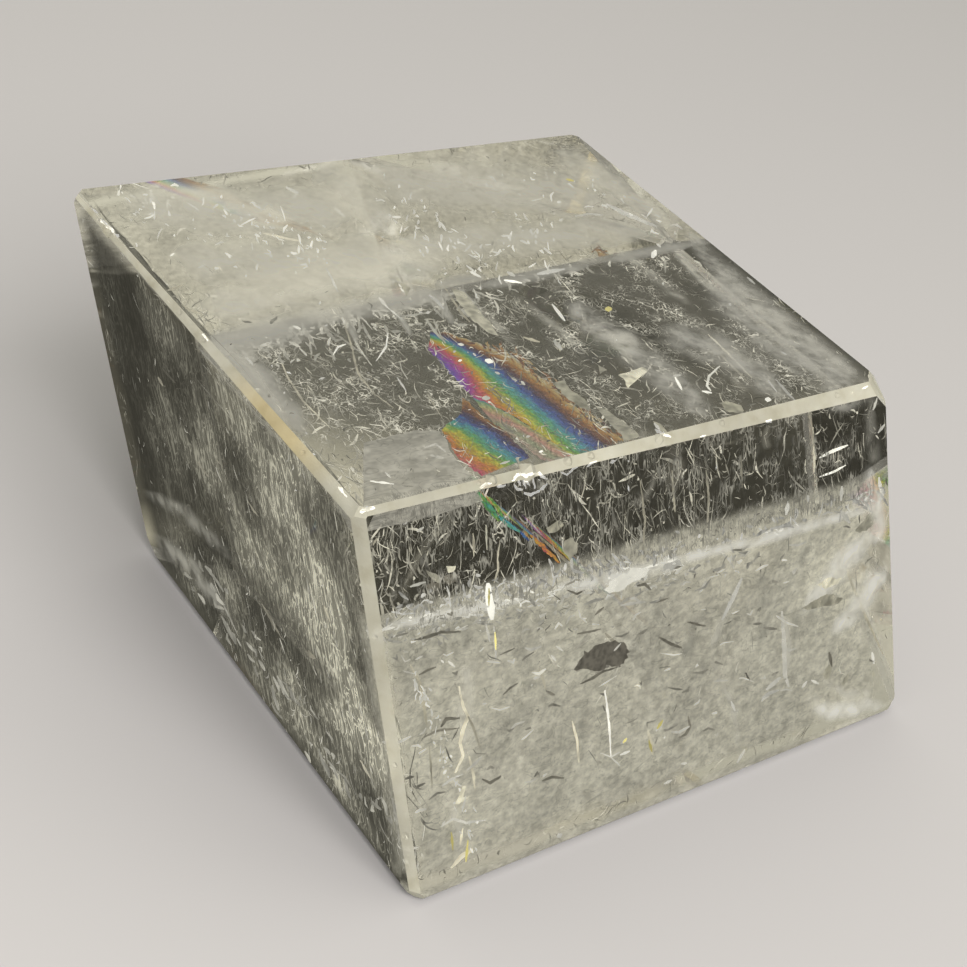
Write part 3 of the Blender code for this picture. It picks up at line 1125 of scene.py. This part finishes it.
FRONT_PLATES = (
    ((426, 570), (433, 573), (442, 578), (440, 584), (433, 580), (428, 575)),
    ((446, 566), (456, 566), (453, 572), (448, 573)),
    ((546, 528), (559, 520), (564, 525), (556, 532), (549, 533)),
    ((564, 541), (571, 537), (578, 543), (577, 553), (570, 560), (563, 551)),
    ((604, 590), (612, 580), (622, 574), (636, 568), (650, 569), (645, 577), (630, 584), (618, 592)),
    ((659, 571), (668, 563), (680, 560), (682, 564), (671, 571)),
    ((817, 585), (827, 578), (842, 578), (838, 584), (825, 589)),
    ((801, 610), (815, 600), (827, 594), (843, 598), (838, 604), (817, 608)),
    ((855, 531), (868, 514), (877, 514), (871, 527), (860, 533)),
    ((822, 675), (829, 664), (832, 667), (830, 676), (826, 680)),
    ((841, 684), (849, 670), (848, 681), (844, 686)),
    ((455, 804), (463, 786), (466, 786), (463, 797), (470, 796), (459, 804)),
)
# A dark patch low on the front, and two patches of painted shadow beside a pale flake
FRONT_DARK_AND_SHADOW_PATCHES = (
    ((574, 670), (584, 655), (594, 646), (608, 641),
     (625, 643), (630, 652), (621, 664), (602, 671), (588, 669)),
    ((426, 585), (431, 578), (440, 584), (438, 590), (429, 590)),
    ((443, 581), (449, 574), (459, 573), (458, 582), (449, 585)),
)
GREY_PATCH = (
    (363.7, 443), (378.4, 438.7), (398, 434), (418, 430), (438.5, 431), (447, 440), (449, 449), (459, 462),
    (474, 477), (481, 483), (450, 492), (420, 500), (390, 506), (363, 512),
)

# Soft bands, as pixels: a width, then a line of points
TOP_BANDS = (
    (15, (610, 245), (640, 266), (668, 288), (696, 308)),
    (12, (655, 232), (684, 262), (706, 284), (730, 300)),
    (14, (575, 150), (592, 172), (606, 196)),
    (16, (640, 320), (668, 312), (700, 322), (712, 345)),
    (13, (628, 350), (655, 342), (690, 352), (716, 372)),
    (18, (700, 350), (735, 352), (762, 370)),
    (14, (745, 300), (775, 322), (800, 350)),
    (16, (455, 300), (490, 318), (520, 350)),
    (14, (520, 300), (560, 330), (590, 360)),
    (34, (205, 325), (235, 360), (270, 400), (300, 440)),
    (16, (470, 283), (540, 268), (600, 258), (660, 248)),
)
FRONT_BANDS = (
    (16, (740, 573), (723, 620), (710, 653)),
    (12, (783, 607), (788, 645), (787, 682)),
    (10, (840, 553), (857, 590), (887, 655)),
    (14, (707, 653), (733, 707), (740, 753)),
    (34, (800, 700), (840, 712), (885, 700)),
    (20, (820, 680), (845, 695), (880, 690)),
    (30, (470, 640), (465, 700), (470, 780)),
    (26, (450, 800), (460, 840), (470, 870)),
    (22, (590, 790), (610, 800), (640, 790)),
    (20, (840, 500), (860, 512), (880, 505)),
    (20, (868, 398), (872, 440), (880, 490)),
)
# Bands of painted shade behind the front face, as pixels: a width, then a line of points
DARK_BANDS = (
    (14, (851, 590), (864, 620), (882, 655)),
    (12, (813, 537), (796, 570), (780, 602)),
    (18, (795, 604), (797, 642)),
    (26, (700, 600), (690, 640), (680, 690)),
    (22, (830, 610), (832, 640), (828, 664)),
    (24, (590, 690), (580, 730), (590, 770)),
    (22, (520, 640), (530, 690), (520, 740)),
    (20, (650, 600), (670, 640), (720, 680)),
    (22, (756, 560), (765, 610), (762, 660)),
)
YELLOW_GLINTS = (
    (5.5, (605, 309), (612, 309)),
    (2.6, (566, 179), (574, 181)),
    (3.0, (451, 832), (453, 850)),
    (3.0, (468, 840), (466, 862)),
    (3.4, (657, 729), (663, 720)),
    (2.6, (623, 743), (627, 738)),
    (2.4, (489, 588), (489, 606)),
    (2.2, (495, 632), (496, 650)),
    (3.2, (649, 740), (652, 752)),
)
HAZE_BANDS = (
    (56, (180, 352), (235, 344), (290, 326), (340, 316)),
    (44, (200, 340), (240, 378), (290, 440)),
    (40, (226, 340), (268, 385), (315, 440)),
    (30, (300, 326), (380, 306), (470, 290)),
    (18, (470, 290), (530, 277), (600, 262)),
    (16, (600, 264), (650, 252), (700, 242)),
    (34, (196, 346), (250, 334), (300, 320)),
    (26, (292, 318), (330, 313), (372, 299)),
    (30, (362, 303), (400, 300), (442, 286)),
    (20, (430, 288), (455, 281), (492, 274)),
    (12, (336, 306), (350, 326), (360, 346)),
    (10, (388, 300), (402, 320), (414, 338)),
    (14, (430, 292), (444, 310), (456, 326)),
    (16, (455, 286), (472, 306), (490, 332)),
)
RIGHT_HAZE = (
    (66, (676, 218), (784, 301), (904, 397)),
    (70, (690, 268), (780, 340), (880, 404)),
    (50, (650, 330), (720, 350), (800, 400)),
    (46, (600, 330), (660, 372), (720, 420)),
    (40, (560, 300), (600, 330), (650, 350)),
)
# Bands with a bright painted glow behind the front face, as pixels: a width, then a line of points
BRIGHT_BANDS = (
    (24, (866, 462), (875, 500), (884, 548)),
    (20, (376, 630), (450, 613), (540, 594)),
    (26, (540, 594), (620, 576), (700, 557)),
    (18, (640, 570), (760, 540), (890, 502)),
    (34, (800, 620), (845, 560), (885, 520)),
    (30, (830, 640), (862, 600), (888, 560)),
    (30, (808, 712), (850, 712), (888, 704)),
)
BACK_HAZE = (
    (34, (128, 184), (215, 198), (310, 232)),
    (90, (80, 200), (230, 212), (380, 204)),
    (90, (150, 262), (280, 268), (430, 246)),
    (90, (330, 180), (480, 190), (640, 186)),
    (60, (370, 254), (500, 240), (680, 224)),
    (46, (540, 150), (620, 182), (690, 232)),
    (76, (165, 322), (300, 288), (480, 250)),
    (70, (290, 150), (350, 190), (400, 232)),
)

# The soft arc of light low on the left face
LEFT_ARC = (
    (20, (140, 490), (184, 512), (240, 566)),
    (26, (148, 532), (190, 566), (236, 622)),
)

# What is drawn as streaks: the seed, the face, how far under it in mm, the rows and the look
STREAKS = (
    ("top_glints", 61, "top", 1.6, TOP_WHITE, "white_glints"),
    ("top_streaks", 62, "top", 3.0, TOP_PALE, "pale_streaks"),
    ("front_glints", 63, "front", 1.6, FRONT_WHITE, "white_glints"),
    ("front_streaks", 64, "front", 2.4, FRONT_PALE, "pale_streaks"),
    ("front_slivers", 65, "front", 2.0, FRONT_DARK, "dark_slivers"),
    ("left_glints", 66, "left", 1.4, LEFT_WHITE, "pale_streaks"),
    ("top_yellow_glints", 67, "top", 1.0, YELLOW_GLINTS[:2], "yellow_glints"),
    ("front_yellow_glints", 68, "front", 1.0, YELLOW_GLINTS[2:], "yellow_glints"),
)

# What is drawn as outlines: the same, then how far each leans and how rough its outline is
PLATES = (
    ("top_plates", 71, "top", 1.2, TOP_PLATES, "pale_plates", 0.15, 0.5),
    ("front_plates", 72, "front", 1.5, FRONT_PLATES[:4] + FRONT_PLATES[6:], "pale_plates", 0.15, 0.5),
    ("front_bright_plates", 87, "front", 1.3, FRONT_PLATES[4:6], "white_glints", 0.10, 1.2),
    # the dark patch and the painted shadows beside a flake
    ("front_dark_and_shadow_patches", 73, "front", 2.4, FRONT_DARK_AND_SHADOW_PATCHES, "dark_and_shadow_patches", 0.15, 1.4),
)

# The bands: the face, how far under it in mm, the rows and the look
BANDS = (
    ("dark_bands", "front", 3.0, DARK_BANDS, "dark_bands"),
    ("top_bands", "top", 6.0, TOP_BANDS, "soft_bands"),
    ("front_bands", "front", 3.4, FRONT_BANDS, "soft_bands"),
    ("bright_bands", "front", 1.8, BRIGHT_BANDS, "bright_haze"),
    ("back_haze", "top", 1.4, BACK_HAZE, "back_haze"),
    ("left_arc", "left", 0.8, LEFT_ARC, "soft_bands"),
    ("border_haze", "top", 2.0, HAZE_BANDS, "border_haze"),
    ("right_haze", "top", 2.2, RIGHT_HAZE, "right_haze"),
)
BANDS_APART = 0.04 * MM

# Pale strokes along a border or a field: the seed, the face, the depth in mm, the border as pixels, how
# far the strokes reach from it, evenly and then thinning out, their bearing and its spread in degrees,
# how many there are, and their length against the usual
FRINGES = (
    ("top_fringe", 75, "top", 2.5, ((206, 340), (250, 336), (300, 322)), (10, 22), 52, 28, 110, 1.0),
    ("core_fringe", 76, "top", 3.0, ((290, 324), (380, 304), (480, 287)), (2, 18), 55, 34, 120, 1.0),
    ("core_feathers", 84, "top", 2.6, ((290, 322), (380, 303), (500, 284)), (0, 26), 57, 20, 34, 2.6),
    ("far_fringe", 77, "top", 5.0, ((480, 287), (600, 262), (700, 240)), (2, 7), 40, 28, 40, 1.0),
    ("front_fringe", 78, "front", 1.6, ((384, 622), (520, 592), (640, 564)), (-4, -8), 100, 60, 150, 1.0),
    ("right_fringe", 79, "front", 2.0, ((640, 564), (760, 538), (884, 500)), (-3, -6), 110, 60, 90, 1.0),
    ("lower_fringe", 80, "front", 1.8, ((384, 630), (560, 592), (760, 545)), (8, 12), 160, 30, 170, 1.0),
    ("back_flecks", 82, "top", 0.8, ((110, 200), (250, 232), (330, 258)), (-34, 26), 48, 40, 130, 0.74),
    ("middle_flecks", 83, "top", 0.8, ((380, 205), (470, 258), (560, 236)), (-34, 26), 55, 40, 120, 0.74),
    ("left_feathers", 88, "left", 0.7, ((186, 590), (290, 726), (396, 862)), (-52, 0), 62, 11, 56, 2.1),
    ("far_flecks", 85, "top", 0.8, ((480, 170), (600, 190), (680, 232)), (-10, 18), 28, 30, 40, 0.70),
    ("border_flecks", 89, "front", 1.5, ((384, 628), (540, 597), (700, 560)), (-8, 9), -14, 26, 110, 0.80),
    ("low_flecks", 90, "front", 1.2, ((416, 690), (446, 780), (476, 860)), (-30, 0), 80, 26, 60, 0.72),
)
BRIGHT_FRINGES = ("front_fringe", "right_fringe")

# The level slivers low behind the front face: the seed, how many and the look, and where their field
# starts and ends to the right, how high it starts, how it rises to the right and how deep it goes, all
# in pixels
SCALES = (("front_scales", 74, 60, "faint_scales"), ("light_scales", 86, 70, "light_scales"))
SCALES_FROM, SCALES_TO = 395, 800
SCALES_TOP, SCALES_RISE, SCALES_DEEP = 695, 0.20, 200


def soft_bands(name, face, depth, bands, material):
    """Broad faint bands along lines of pixels, seen through a face."""
    verts, faces, uv = [], [], []
    for index, (width, *line) in enumerate(bands):
        outline = streak(width, *line)
        count = len(outline) // 2
        faces.extend(grid_faces(2, count) + len(verts))
        for across, side in enumerate((outline[:count], outline[count:][::-1])):
            verts.extend(seen(pixel, face, depth + index * BANDS_APART) for pixel in side)
            uv.extend((share, across) for share in np.linspace(0, 1, count))
    joined_mesh(name, kept_inside(verts, 0.05 * MM), faces, material, uv=uv)


def scales(name, seed, count, material):
    """Many small faint slivers that lie nearly level behind the front face."""
    rng = np.random.default_rng(seed)
    outlines = []
    for _ in range(count):
        right, down = rng.uniform(SCALES_FROM, SCALES_TO), rng.uniform(0, 1)
        middle = np.array((right, SCALES_TOP - right * SCALES_RISE + SCALES_DEEP * down**1.4))
        outlines.append(stroke(rng, middle, -18, 18, (4, 1.3), 2.0, (1.2, 3.4)))
    shards(name, seed, "front", outlines, 2.0 * MM, material, 0.25, 0.3)


def fringe(name, seed, face, depth, border, reach, bearing, spread, count, longer, material):
    """Short pale strokes that fray a border, thick on the line and thinning out beyond it."""
    rng = np.random.default_rng(seed)
    finer = min(1.0, longer)
    outlines = []
    for share in rng.random(count):
        middle = part_way(np.array(border), share) + rng.normal(0, 3.0, 2)
        middle[1] += reach[0] * rng.random() + reach[1] * rng.exponential(0.7)
        widths = (1.2 * finer, 3.6 * finer)
        outlines.append(stroke(rng, middle, bearing, spread, (3, 1.2 * longer), 1.4 * finer, widths))
    shards(name, seed, face, outlines, depth * MM, material, 0.2, 0.35)


def grey_patch(material):
    """A broad grey crack near the upper front left corner, which dips towards the front face."""
    back_left, back_right = seen((363, 443), "top", 0.5 * MM), seen((438, 431), "top", 0.5 * MM)
    ahead = seen((377, 543), "front", 0.2 * MM)
    normal = (back_right - back_left).cross(ahead - back_left).normalized()
    outline = ragged(GREY_PATCH, np.random.default_rng(51), 0.4, 4.0)
    ring = [seen_on(pixel, "top", back_left, normal) for pixel in outline]
    flakes("grey_patch", [ring], material, 0.1 * MM, NORMALS["top"])


def shown_one_by_one():
    """The streaks, plates, smudges and bands that the photograph shows in their own places."""
    for name, seed, face, depth, rows, look_name in STREAKS:
        shards(name, seed, face, [streak(*row) for row in rows], depth * MM, look(look_name), 0.2, 0.25)
    for name, seed, face, depth, outlines, look_name, tilt, jag in PLATES:
        shards(name, seed, face, outlines, depth * MM, look(look_name), tilt, jag)
    for name, seed, count, look_name in SCALES:
        scales(name, seed, count, look(look_name))
    for name, *rest in FRINGES:
        usual = "back_flecks" if name.endswith("_flecks") else "border_frost"
        fringe(name, *rest, look("bright_frost" if name in BRIGHT_FRINGES else usual))
    grey_patch(wrinkled("grey_patch", (0.92, 0.88, 0.74), glow=0.57, scale=700.0, stretch=(0.6, 1.2, 1.0),
                        dimmest=0.55, solid=0.88, one_sided=True))
    for name, face, depth, rows, look_name in BANDS:
        soft_bands(name, face, depth * MM, rows, look(look_name))


# The rainbow crack lies on one leaning cleavage plane, which the front face shows edge-on
CRACK_POINT = NEAR_CORNER + Vector((16.66, -0.48, -1.88)) * MM
CRACK_NORMAL = Vector((0.614, 0.060, 0.785)).normalized()

# Its lobes as pixels of the photograph: the upper and lower edge from the tip on, and the film there
LONG_LOBE = {
    "upper": (
        (431, 331.5), (446, 332.5), (470, 340.4), (485, 345.7), (500, 351), (513, 356), (524, 364),
        (538, 375), (552, 385), (564, 396), (581, 411.6), (604, 427), (625, 441),
    ),
    "lower": (
        (428.4, 350), (437, 358), (448, 371), (458, 381.7), (466, 391), (473, 397.5), (488, 403),
        (505, 411), (523, 422), (540, 434), (555, 444), (567, 452), (578, 455.5),
    ),
    "film": (
        (0.24, 0.86), (0.10, 0.95), (0.02, 0.96), (0.0, 0.92), (0.0, 0.84), (0.0, 0.76), (0.01, 0.68),
        (0.01, 0.62), (0.02, 0.58), (0.03, 0.56), (0.05, 0.53), (0.06, 0.50), (0.07, 0.47),
    ),
}
PASTEL_LOBE = {
    "upper": LONG_LOBE["lower"][5:],
    "lower": (
        (474, 399), (484, 413), (495, 424), (507, 432), (518, 441), (528, 449), (540, 459), (551, 462),
    ),
    "film": (
        (1.02, 1.08), (1.06, 1.30), (1.12, 1.42), (1.14, 1.50),
        (1.16, 1.54), (1.16, 1.54), (1.18, 1.56), (1.2, 1.56),
    ),
}
NEAR_LOBE = {
    "upper": (
        (462.4, 397), (473, 407), (483, 417), (495, 424.5), (506, 431), (515, 441), (523, 449), (530, 457.5),
    ),
    "lower": (
        (461, 423), (447, 424.5), (441, 431), (446, 437), (451, 446), (456, 456), (468, 466), (482, 476),
    ),
    "film": (
        (0.12, 0.24), (0.12, 0.46), (0.13, 0.56), (0.15, 0.62),
        (0.17, 0.64), (0.20, 0.66), (0.22, 0.69), (0.25, 0.71),
    ),
}
LOBES = ((LONG_LOBE, 0.0), (PASTEL_LOBE, 0.10 * MM), (NEAR_LOBE, 0.20 * MM))  # and how deep each lies
FILM_ROWS = 40
FILM_MARGIN = 0.06 * MM
SPLINTERS = 110
SPLINTER_FILMS = (0.07, 0.11, 0.14, 0.18, 0.21)

# Where the same film meets the front face: the film's thickness, a width and a line of pixels
FRONT_FILM = (
    (0.45, 7.0, (478, 492), (488, 506), (499, 521)),
    (0.41, 5.0, (499, 516), (508, 524), (520, 532)),
    (0.47, 4.0, (489, 497), (497, 508), (503, 517)),
    (0.60, 4.4, (530, 535), (544, 548), (560, 563)),
    (0.10, 3.0, (524, 531), (530, 538)),
    (0.33, 2.6, (517, 528), (529, 541)),
)
FRONT_FILM_MIDDLE = (520, 530)
FRONT_FILM_DEPTH = 1.6 * MM


def film_uv(film):
    """The film's thickness at each vertex as the U of a UV map."""
    across = np.array(film) / THICKEST_FILM
    return np.stack([across, np.zeros(len(across))], axis=1)


def face_outwards(piece, normal):
    """Turns a flat piece over if its faces look away from this direction."""
    if sum(face.normal.dot(normal) * face.area for face in piece.data.polygons) < 0:
        piece.data.flip_normals()


def film_lobe(lobe, lift, rng):
    """A lobe of the crack as a grid of points on its plane, with the film's thickness at each."""
    edges = [np.array(lobe[key], float) for key in ("upper", "lower", "film")]
    last = len(edges[0]) - 1
    upper, lower, film = (part_way(edge, np.linspace(0, last, FILM_ROWS), last) for edge in edges)
    jag = rng.normal(0, 0.5, (FILM_ROWS, 2))
    grid, thickness = [], []
    for row in range(FILM_ROWS):
        for share in np.linspace(0, 1, FILM_ROWS):
            pixel = upper[row] * (1 - share) + lower[row] * share + jag[row] * abs(2 * share - 1)
            grid.append(seen_on(pixel, "top", CRACK_POINT - CRACK_NORMAL * lift, CRACK_NORMAL))
            thickness.append(film[row, 0] + (film[row, 1] - film[row, 0]) * share**0.85)
    grid = np.array(grid)
    ripples = lumpy(grid, 31, 3.5 * MM) + 0.5 * lumpy(grid, 32, 1.4 * MM)
    grid += np.array(CRACK_NORMAL) * ripples[:, None] * 0.03 * MM
    return kept_inside(grid, FILM_MARGIN), thickness


def rainbow_crack(material):
    rng = np.random.default_rng(41)
    grids, films = zip(*(film_lobe(lobe, lift, rng) for lobe, lift in LOBES))
    faces = grid_faces(FILM_ROWS, FILM_ROWS, len(LOBES))
    uv = film_uv(np.concatenate(films))
    piece = joined_mesh("rainbow_crack", np.concatenate(grids), faces, material, uv)
    face_outwards(piece, CRACK_NORMAL)
    crack_splinters(rng, material)


def crack_splinters(rng, material):
    """Short brown and orange splinters that fray the long lobe's upper edge."""
    edge = np.array(LONG_LOBE["upper"], float)
    rings, film = [], []
    for _ in range(SPLINTERS):
        station = 2.5 + 9.5 * rng.random() ** 0.7
        middle = part_way(edge, station, len(edge) - 1) + rng.normal((1.0, -0.5), 2.6)
        outline = ragged(stroke(rng, middle, 52, 22, (3, 1.3), None, (1.0, 2.6)), rng, 0.3, 2.0)
        lifted = CRACK_POINT + CRACK_NORMAL * rng.uniform(0.05, 0.35) * MM
        rings.append([seen_on(pixel, "top", lifted, CRACK_NORMAL) for pixel in outline])
        film.extend([rng.choice(SPLINTER_FILMS)] * len(outline))
    flakes("crack_splinters", rings, material, FILM_MARGIN, CRACK_NORMAL, film)


def front_film(material):
    """The rainbow crack's own edge, a broken coloured streak just behind the front face."""
    rng = np.random.default_rng(42)
    rings, film = [], []
    for thickness, width, *line in FRONT_FILM:
        outline = ragged(streak(width, *line), rng, 0.5, 2.0)
        pixels = (np.mean(outline, axis=0), line[0], line[-1])
        point, start, end = (seen(pixel, "front", FRONT_FILM_DEPTH) for pixel in pixels)
        inside = bent_ray(line[0], "front")[1]
        normal = -inside * 0.37 + inside.cross(end - start).normalized() * 0.93
        rings.append([seen_on(pixel, "front", point, normal) for pixel in outline])
        film.extend(thickness + rng.normal(0, 0.02) for _ in outline)
    piece = flakes("front_film", rings, material, 0.1 * MM, None, film)
    face_outwards(piece, -bent_ray(FRONT_FILM_MIDDLE, "front")[1])


# Where the upper front edge is chipped white, and the crushed rims of the chips as pixels
WHITE_CHIP = bent_ray((529, 483), "top")[0]
WHITE_CHIP_REACH = 2.0 * MM
CHIP_RIMS = (
    (3.4, (512, 481), (517, 475), (522, 474)),
    (4.0, (520, 473), (527, 476), (533, 473)),
    (3.4, (532, 475), (539, 473), (545, 479)),
    (3.0, (514, 484), (517, 489), (523, 490)),
    (3.4, (524, 493), (531, 495), (536, 492)),
    (3.6, (535, 494), (542, 489), (547, 483)),
    (2.4, (526, 481), (530, 486)),
    (2.2, (519, 480), (521, 486)),
    (2.0, (523, 480), (526, 489)),
    (2.0, (533, 478), (535, 489)),
    (2.2, (540, 476), (548, 479)),
    (3.0, (480, 488), (486, 484), (492, 483)),
    (3.0, (497, 487), (506, 485)),
    (2.4, (561, 472), (567, 475), (573, 469), (578, 467)),
    (2.4, (587, 467), (592, 463), (597, 461)),
    (2.4, (610, 463), (617, 459)),
    (3.2, (655, 429), (664, 434), (671, 437)),
    (3.0, (766, 422), (772, 420)),
    (2.0, (700, 437), (706, 435)),
    (2.2, (862, 389), (868, 386)),
    (4.4, (360, 512), (366, 509), (375, 508)),
    (3.6, (101, 219), (109, 227), (119, 237)),
    (2.2, (91, 208), (98, 213)),
    (2.6, (202, 334), (208, 341)),
    (2.2, (338, 487), (347, 497)),
)


def chip_rims():
    """The crushed white rims of the chips, thin flakes that lie on the bevels."""
    rng = np.random.default_rng(81)
    rings = []
    for row in CHIP_RIMS:
        ring = [on_the_skin(pixel) for pixel in ragged(streak(*row), rng, 0.8, 1.6)]
        rings.append([place for place in ring if place])
    flakes("chip_rims", rings, crushed_rims(), 0.01 * MM)


# What tells the block's faces apart: how closely a polished face keeps to its plane, the least area of
# one, the largest area of a facet in a chip, and how far the front corner's own bevels reach
SAME_WAY = 0.9995
POLISHED_AREA = 100 * MM**2
CHIP_AREA = 1.2 * MM**2
CORNER_REACH = 1.9 * MM


def by_the_front_corner(point):
    """Whether a point lies on one of the three bevels that meet at the upper front left corner."""
    apart = sorted(REACH[name] - NORMALS[name].dot(point) for name in ("top", "front", "left"))
    return apart[1] < CORNER_REACH


def crystal():
    """The block itself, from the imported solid, with polished faces, ground bevels and white chips."""
    mesh = solid.copy()
    mesh.name = "crystal"
    mesh.materials.clear()
    for material in (polished_calcite(), ground_calcite(), chipped_calcite(), worn_calcite()):
        mesh.materials.append(material)
    polish, ground, chipped, worn = range(4)
    flats = {}
    for face in mesh.polygons:
        face.use_smooth = False
        key = (*(round(value, 2) for value in face.normal), round(face.normal.dot(face.center) / MM, 1))
        flats.setdefault(key, []).append(face)
    for faces in flats.values():
        area = sum(face.area for face in faces)
        in_line = max(normal.dot(faces[0].normal) for normal in NORMALS.values()) > SAME_WAY
        for face in faces:
            if in_line and area > POLISHED_AREA:
                face.material_index = polish
            elif area < CHIP_AREA and (face.center - WHITE_CHIP).length < WHITE_CHIP_REACH:
                face.material_index = chipped
            else:
                face.material_index = ground if by_the_front_corner(face.center) else worn
    piece = add_object("crystal", mesh)
    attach(piece, "root")
    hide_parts(BLOCK)


# Stage. The floor is plain and pale to the eye. Through the crystal it is a painted glow, with a painted
# shadow in an ellipse behind the block's core and painted shade to the right, and to what reflects it, it is
# a dim painted reflection.
FLOOR_SIZE = 8.0
FLOOR_GAP = 0.2 * MM
FLOOR_COLOUR = (0.64, 0.63, 0.72, 1.0)
FLOOR_SEEN_THROUGH = (0.52, 0.49, 0.37, 1.0)
FLOOR_REFLECTED = (0.10, 0.095, 0.075, 1.0)
SHADE_CENTRE = NEAR_CORNER + Vector((80.0, 55.0, 0.0)) * MM
SHADE_REACH = (62.0 * MM, 40.0 * MM, 1000.0)
RIGHT_SHADE_FROM, RIGHT_SHADE_TO = 70.0 * MM, 115.0 * MM

# The one lamp: its bearing from +Y towards +X and its height in degrees, and how it shines
KEY_BEARING, KEY_HEIGHT = 204.5, 38
KEY_DISTANCE, KEY_SIZE, KEY_POWER = 0.9, 0.5, 6.5
KEY_COLOUR = (1.0, 0.96, 0.82)

# The room: its two warm tints, and the ways to its dark right side and to its dimmer far left
ROOM_TINTS = ((0.35, (0.86, 0.835, 0.66)), (0.65, (1.0, 0.975, 0.80)))
DARK_SIDE = (0.985, 0.12, -0.10)
DIM_SIDE = (-0.527, 0.628, 0.573)


def make_floor():
    half = FLOOR_SIZE / 2
    mesh = bpy.data.meshes.new("floor")
    rim = [(x * half, y * half, -FLOOR_GAP) for x, y in ((-1, -1), (1, -1), (1, 1), (-1, 1))]
    mesh.from_pydata(rim, [], [(0, 1, 2, 3)])
    material, tree, shader = new_material("pale_floor", Base_Color=FLOOR_COLOUR, Roughness=0.8)
    place = node(tree, "NewGeometry").outputs["Position"]
    apart = vector_maths("SUBTRACT", place, SHADE_CENTRE, "Vector")
    apart = vector_maths("DIVIDE", apart, SHADE_REACH, "Vector")
    distance = maths("DIVIDE", vector_maths("LENGTH", apart), 2.0)
    far_right = in_range(separate(place)["X"], RIGHT_SHADE_FROM, RIGHT_SHADE_TO)
    through = product(
        ramp(distance, (0.30, 0.035), (0.46, 0.10), (0.62, 1.0)),
        ramp(far_right, (0.0, 1.0), (1.0, 0.13)),
        FLOOR_SEEN_THROUGH,
    )
    surface = shader.outputs["BSDF"]
    for ray, colour in (("Is Transmission Ray", through), ("Is Reflection Ray", FLOOR_REFLECTED)):
        glow = node(tree, "Emission", Color=colour).outputs["Emission"]
        this_ray = node(tree, "LightPath").outputs[ray]
        surface = node(tree, "MixShader", Fac=this_ray, _1=surface, _2=glow).outputs["Shader"]
    feed(tree.nodes["Material Output"], Surface=surface)
    mesh.materials.append(material)
    add_object("floor", mesh)


def key_light():
    data = bpy.data.lights.new("key", "AREA")
    data.shape = "SQUARE"
    data.size, data.energy, data.color = KEY_SIZE, KEY_POWER, KEY_COLOUR
    lamp = add_object("key", data)
    towards = outward(90.0 - KEY_BEARING, KEY_HEIGHT)
    lamp.location = towards * KEY_DISTANCE
    lamp.rotation_euler = towards.to_track_quat("Z", "Y").to_euler()
    lamp.visible_transmission = False


def make_world():
    world = bpy.data.worlds.new("soft_room")
    world.use_nodes = True
    tree = world.node_tree
    way = node(tree, "TexCoord").outputs["Generated"]
    dark, dim = (vector_maths("DOT_PRODUCT", way, side) for side in (DARK_SIDE, DIM_SIDE))
    room = product(
        ramp(separate(way)["Z"], (0.0, 0.50), (0.35, 0.62), (0.7, 0.70)),
        ramp(noise(tree, 4.0, 2.0, place=way), *ROOM_TINTS),
        ramp(dark, (0.60, 1.0), (0.90, 0.09)),
        ramp(dim, (0.90, 1.0), (0.985, 0.76)),
    )
    feed(tree.nodes["Background"], Color=room)
    bpy.context.scene.world = world


def render_settings():
    scene = bpy.context.scene
    scene.view_settings.view_transform = "Standard"
    scene.cycles.caustics_reflective = False
    scene.cycles.caustics_refractive = False
    scene.cycles.max_bounces = 12
    scene.cycles.diffuse_bounces = 0
    scene.cycles.transmission_bounces = 11
    scene.cycles.glossy_bounces = 8
    scene.cycles.transparent_max_bounces = 16


make_camera()
crystal()
hairs()
crack_sheets()
sparkles()
film_look = thin_film()
rainbow_crack(film_look)
front_film(film_look)
chip_rims()
shown_one_by_one()
make_floor()
key_light()
make_world()
render_settings()
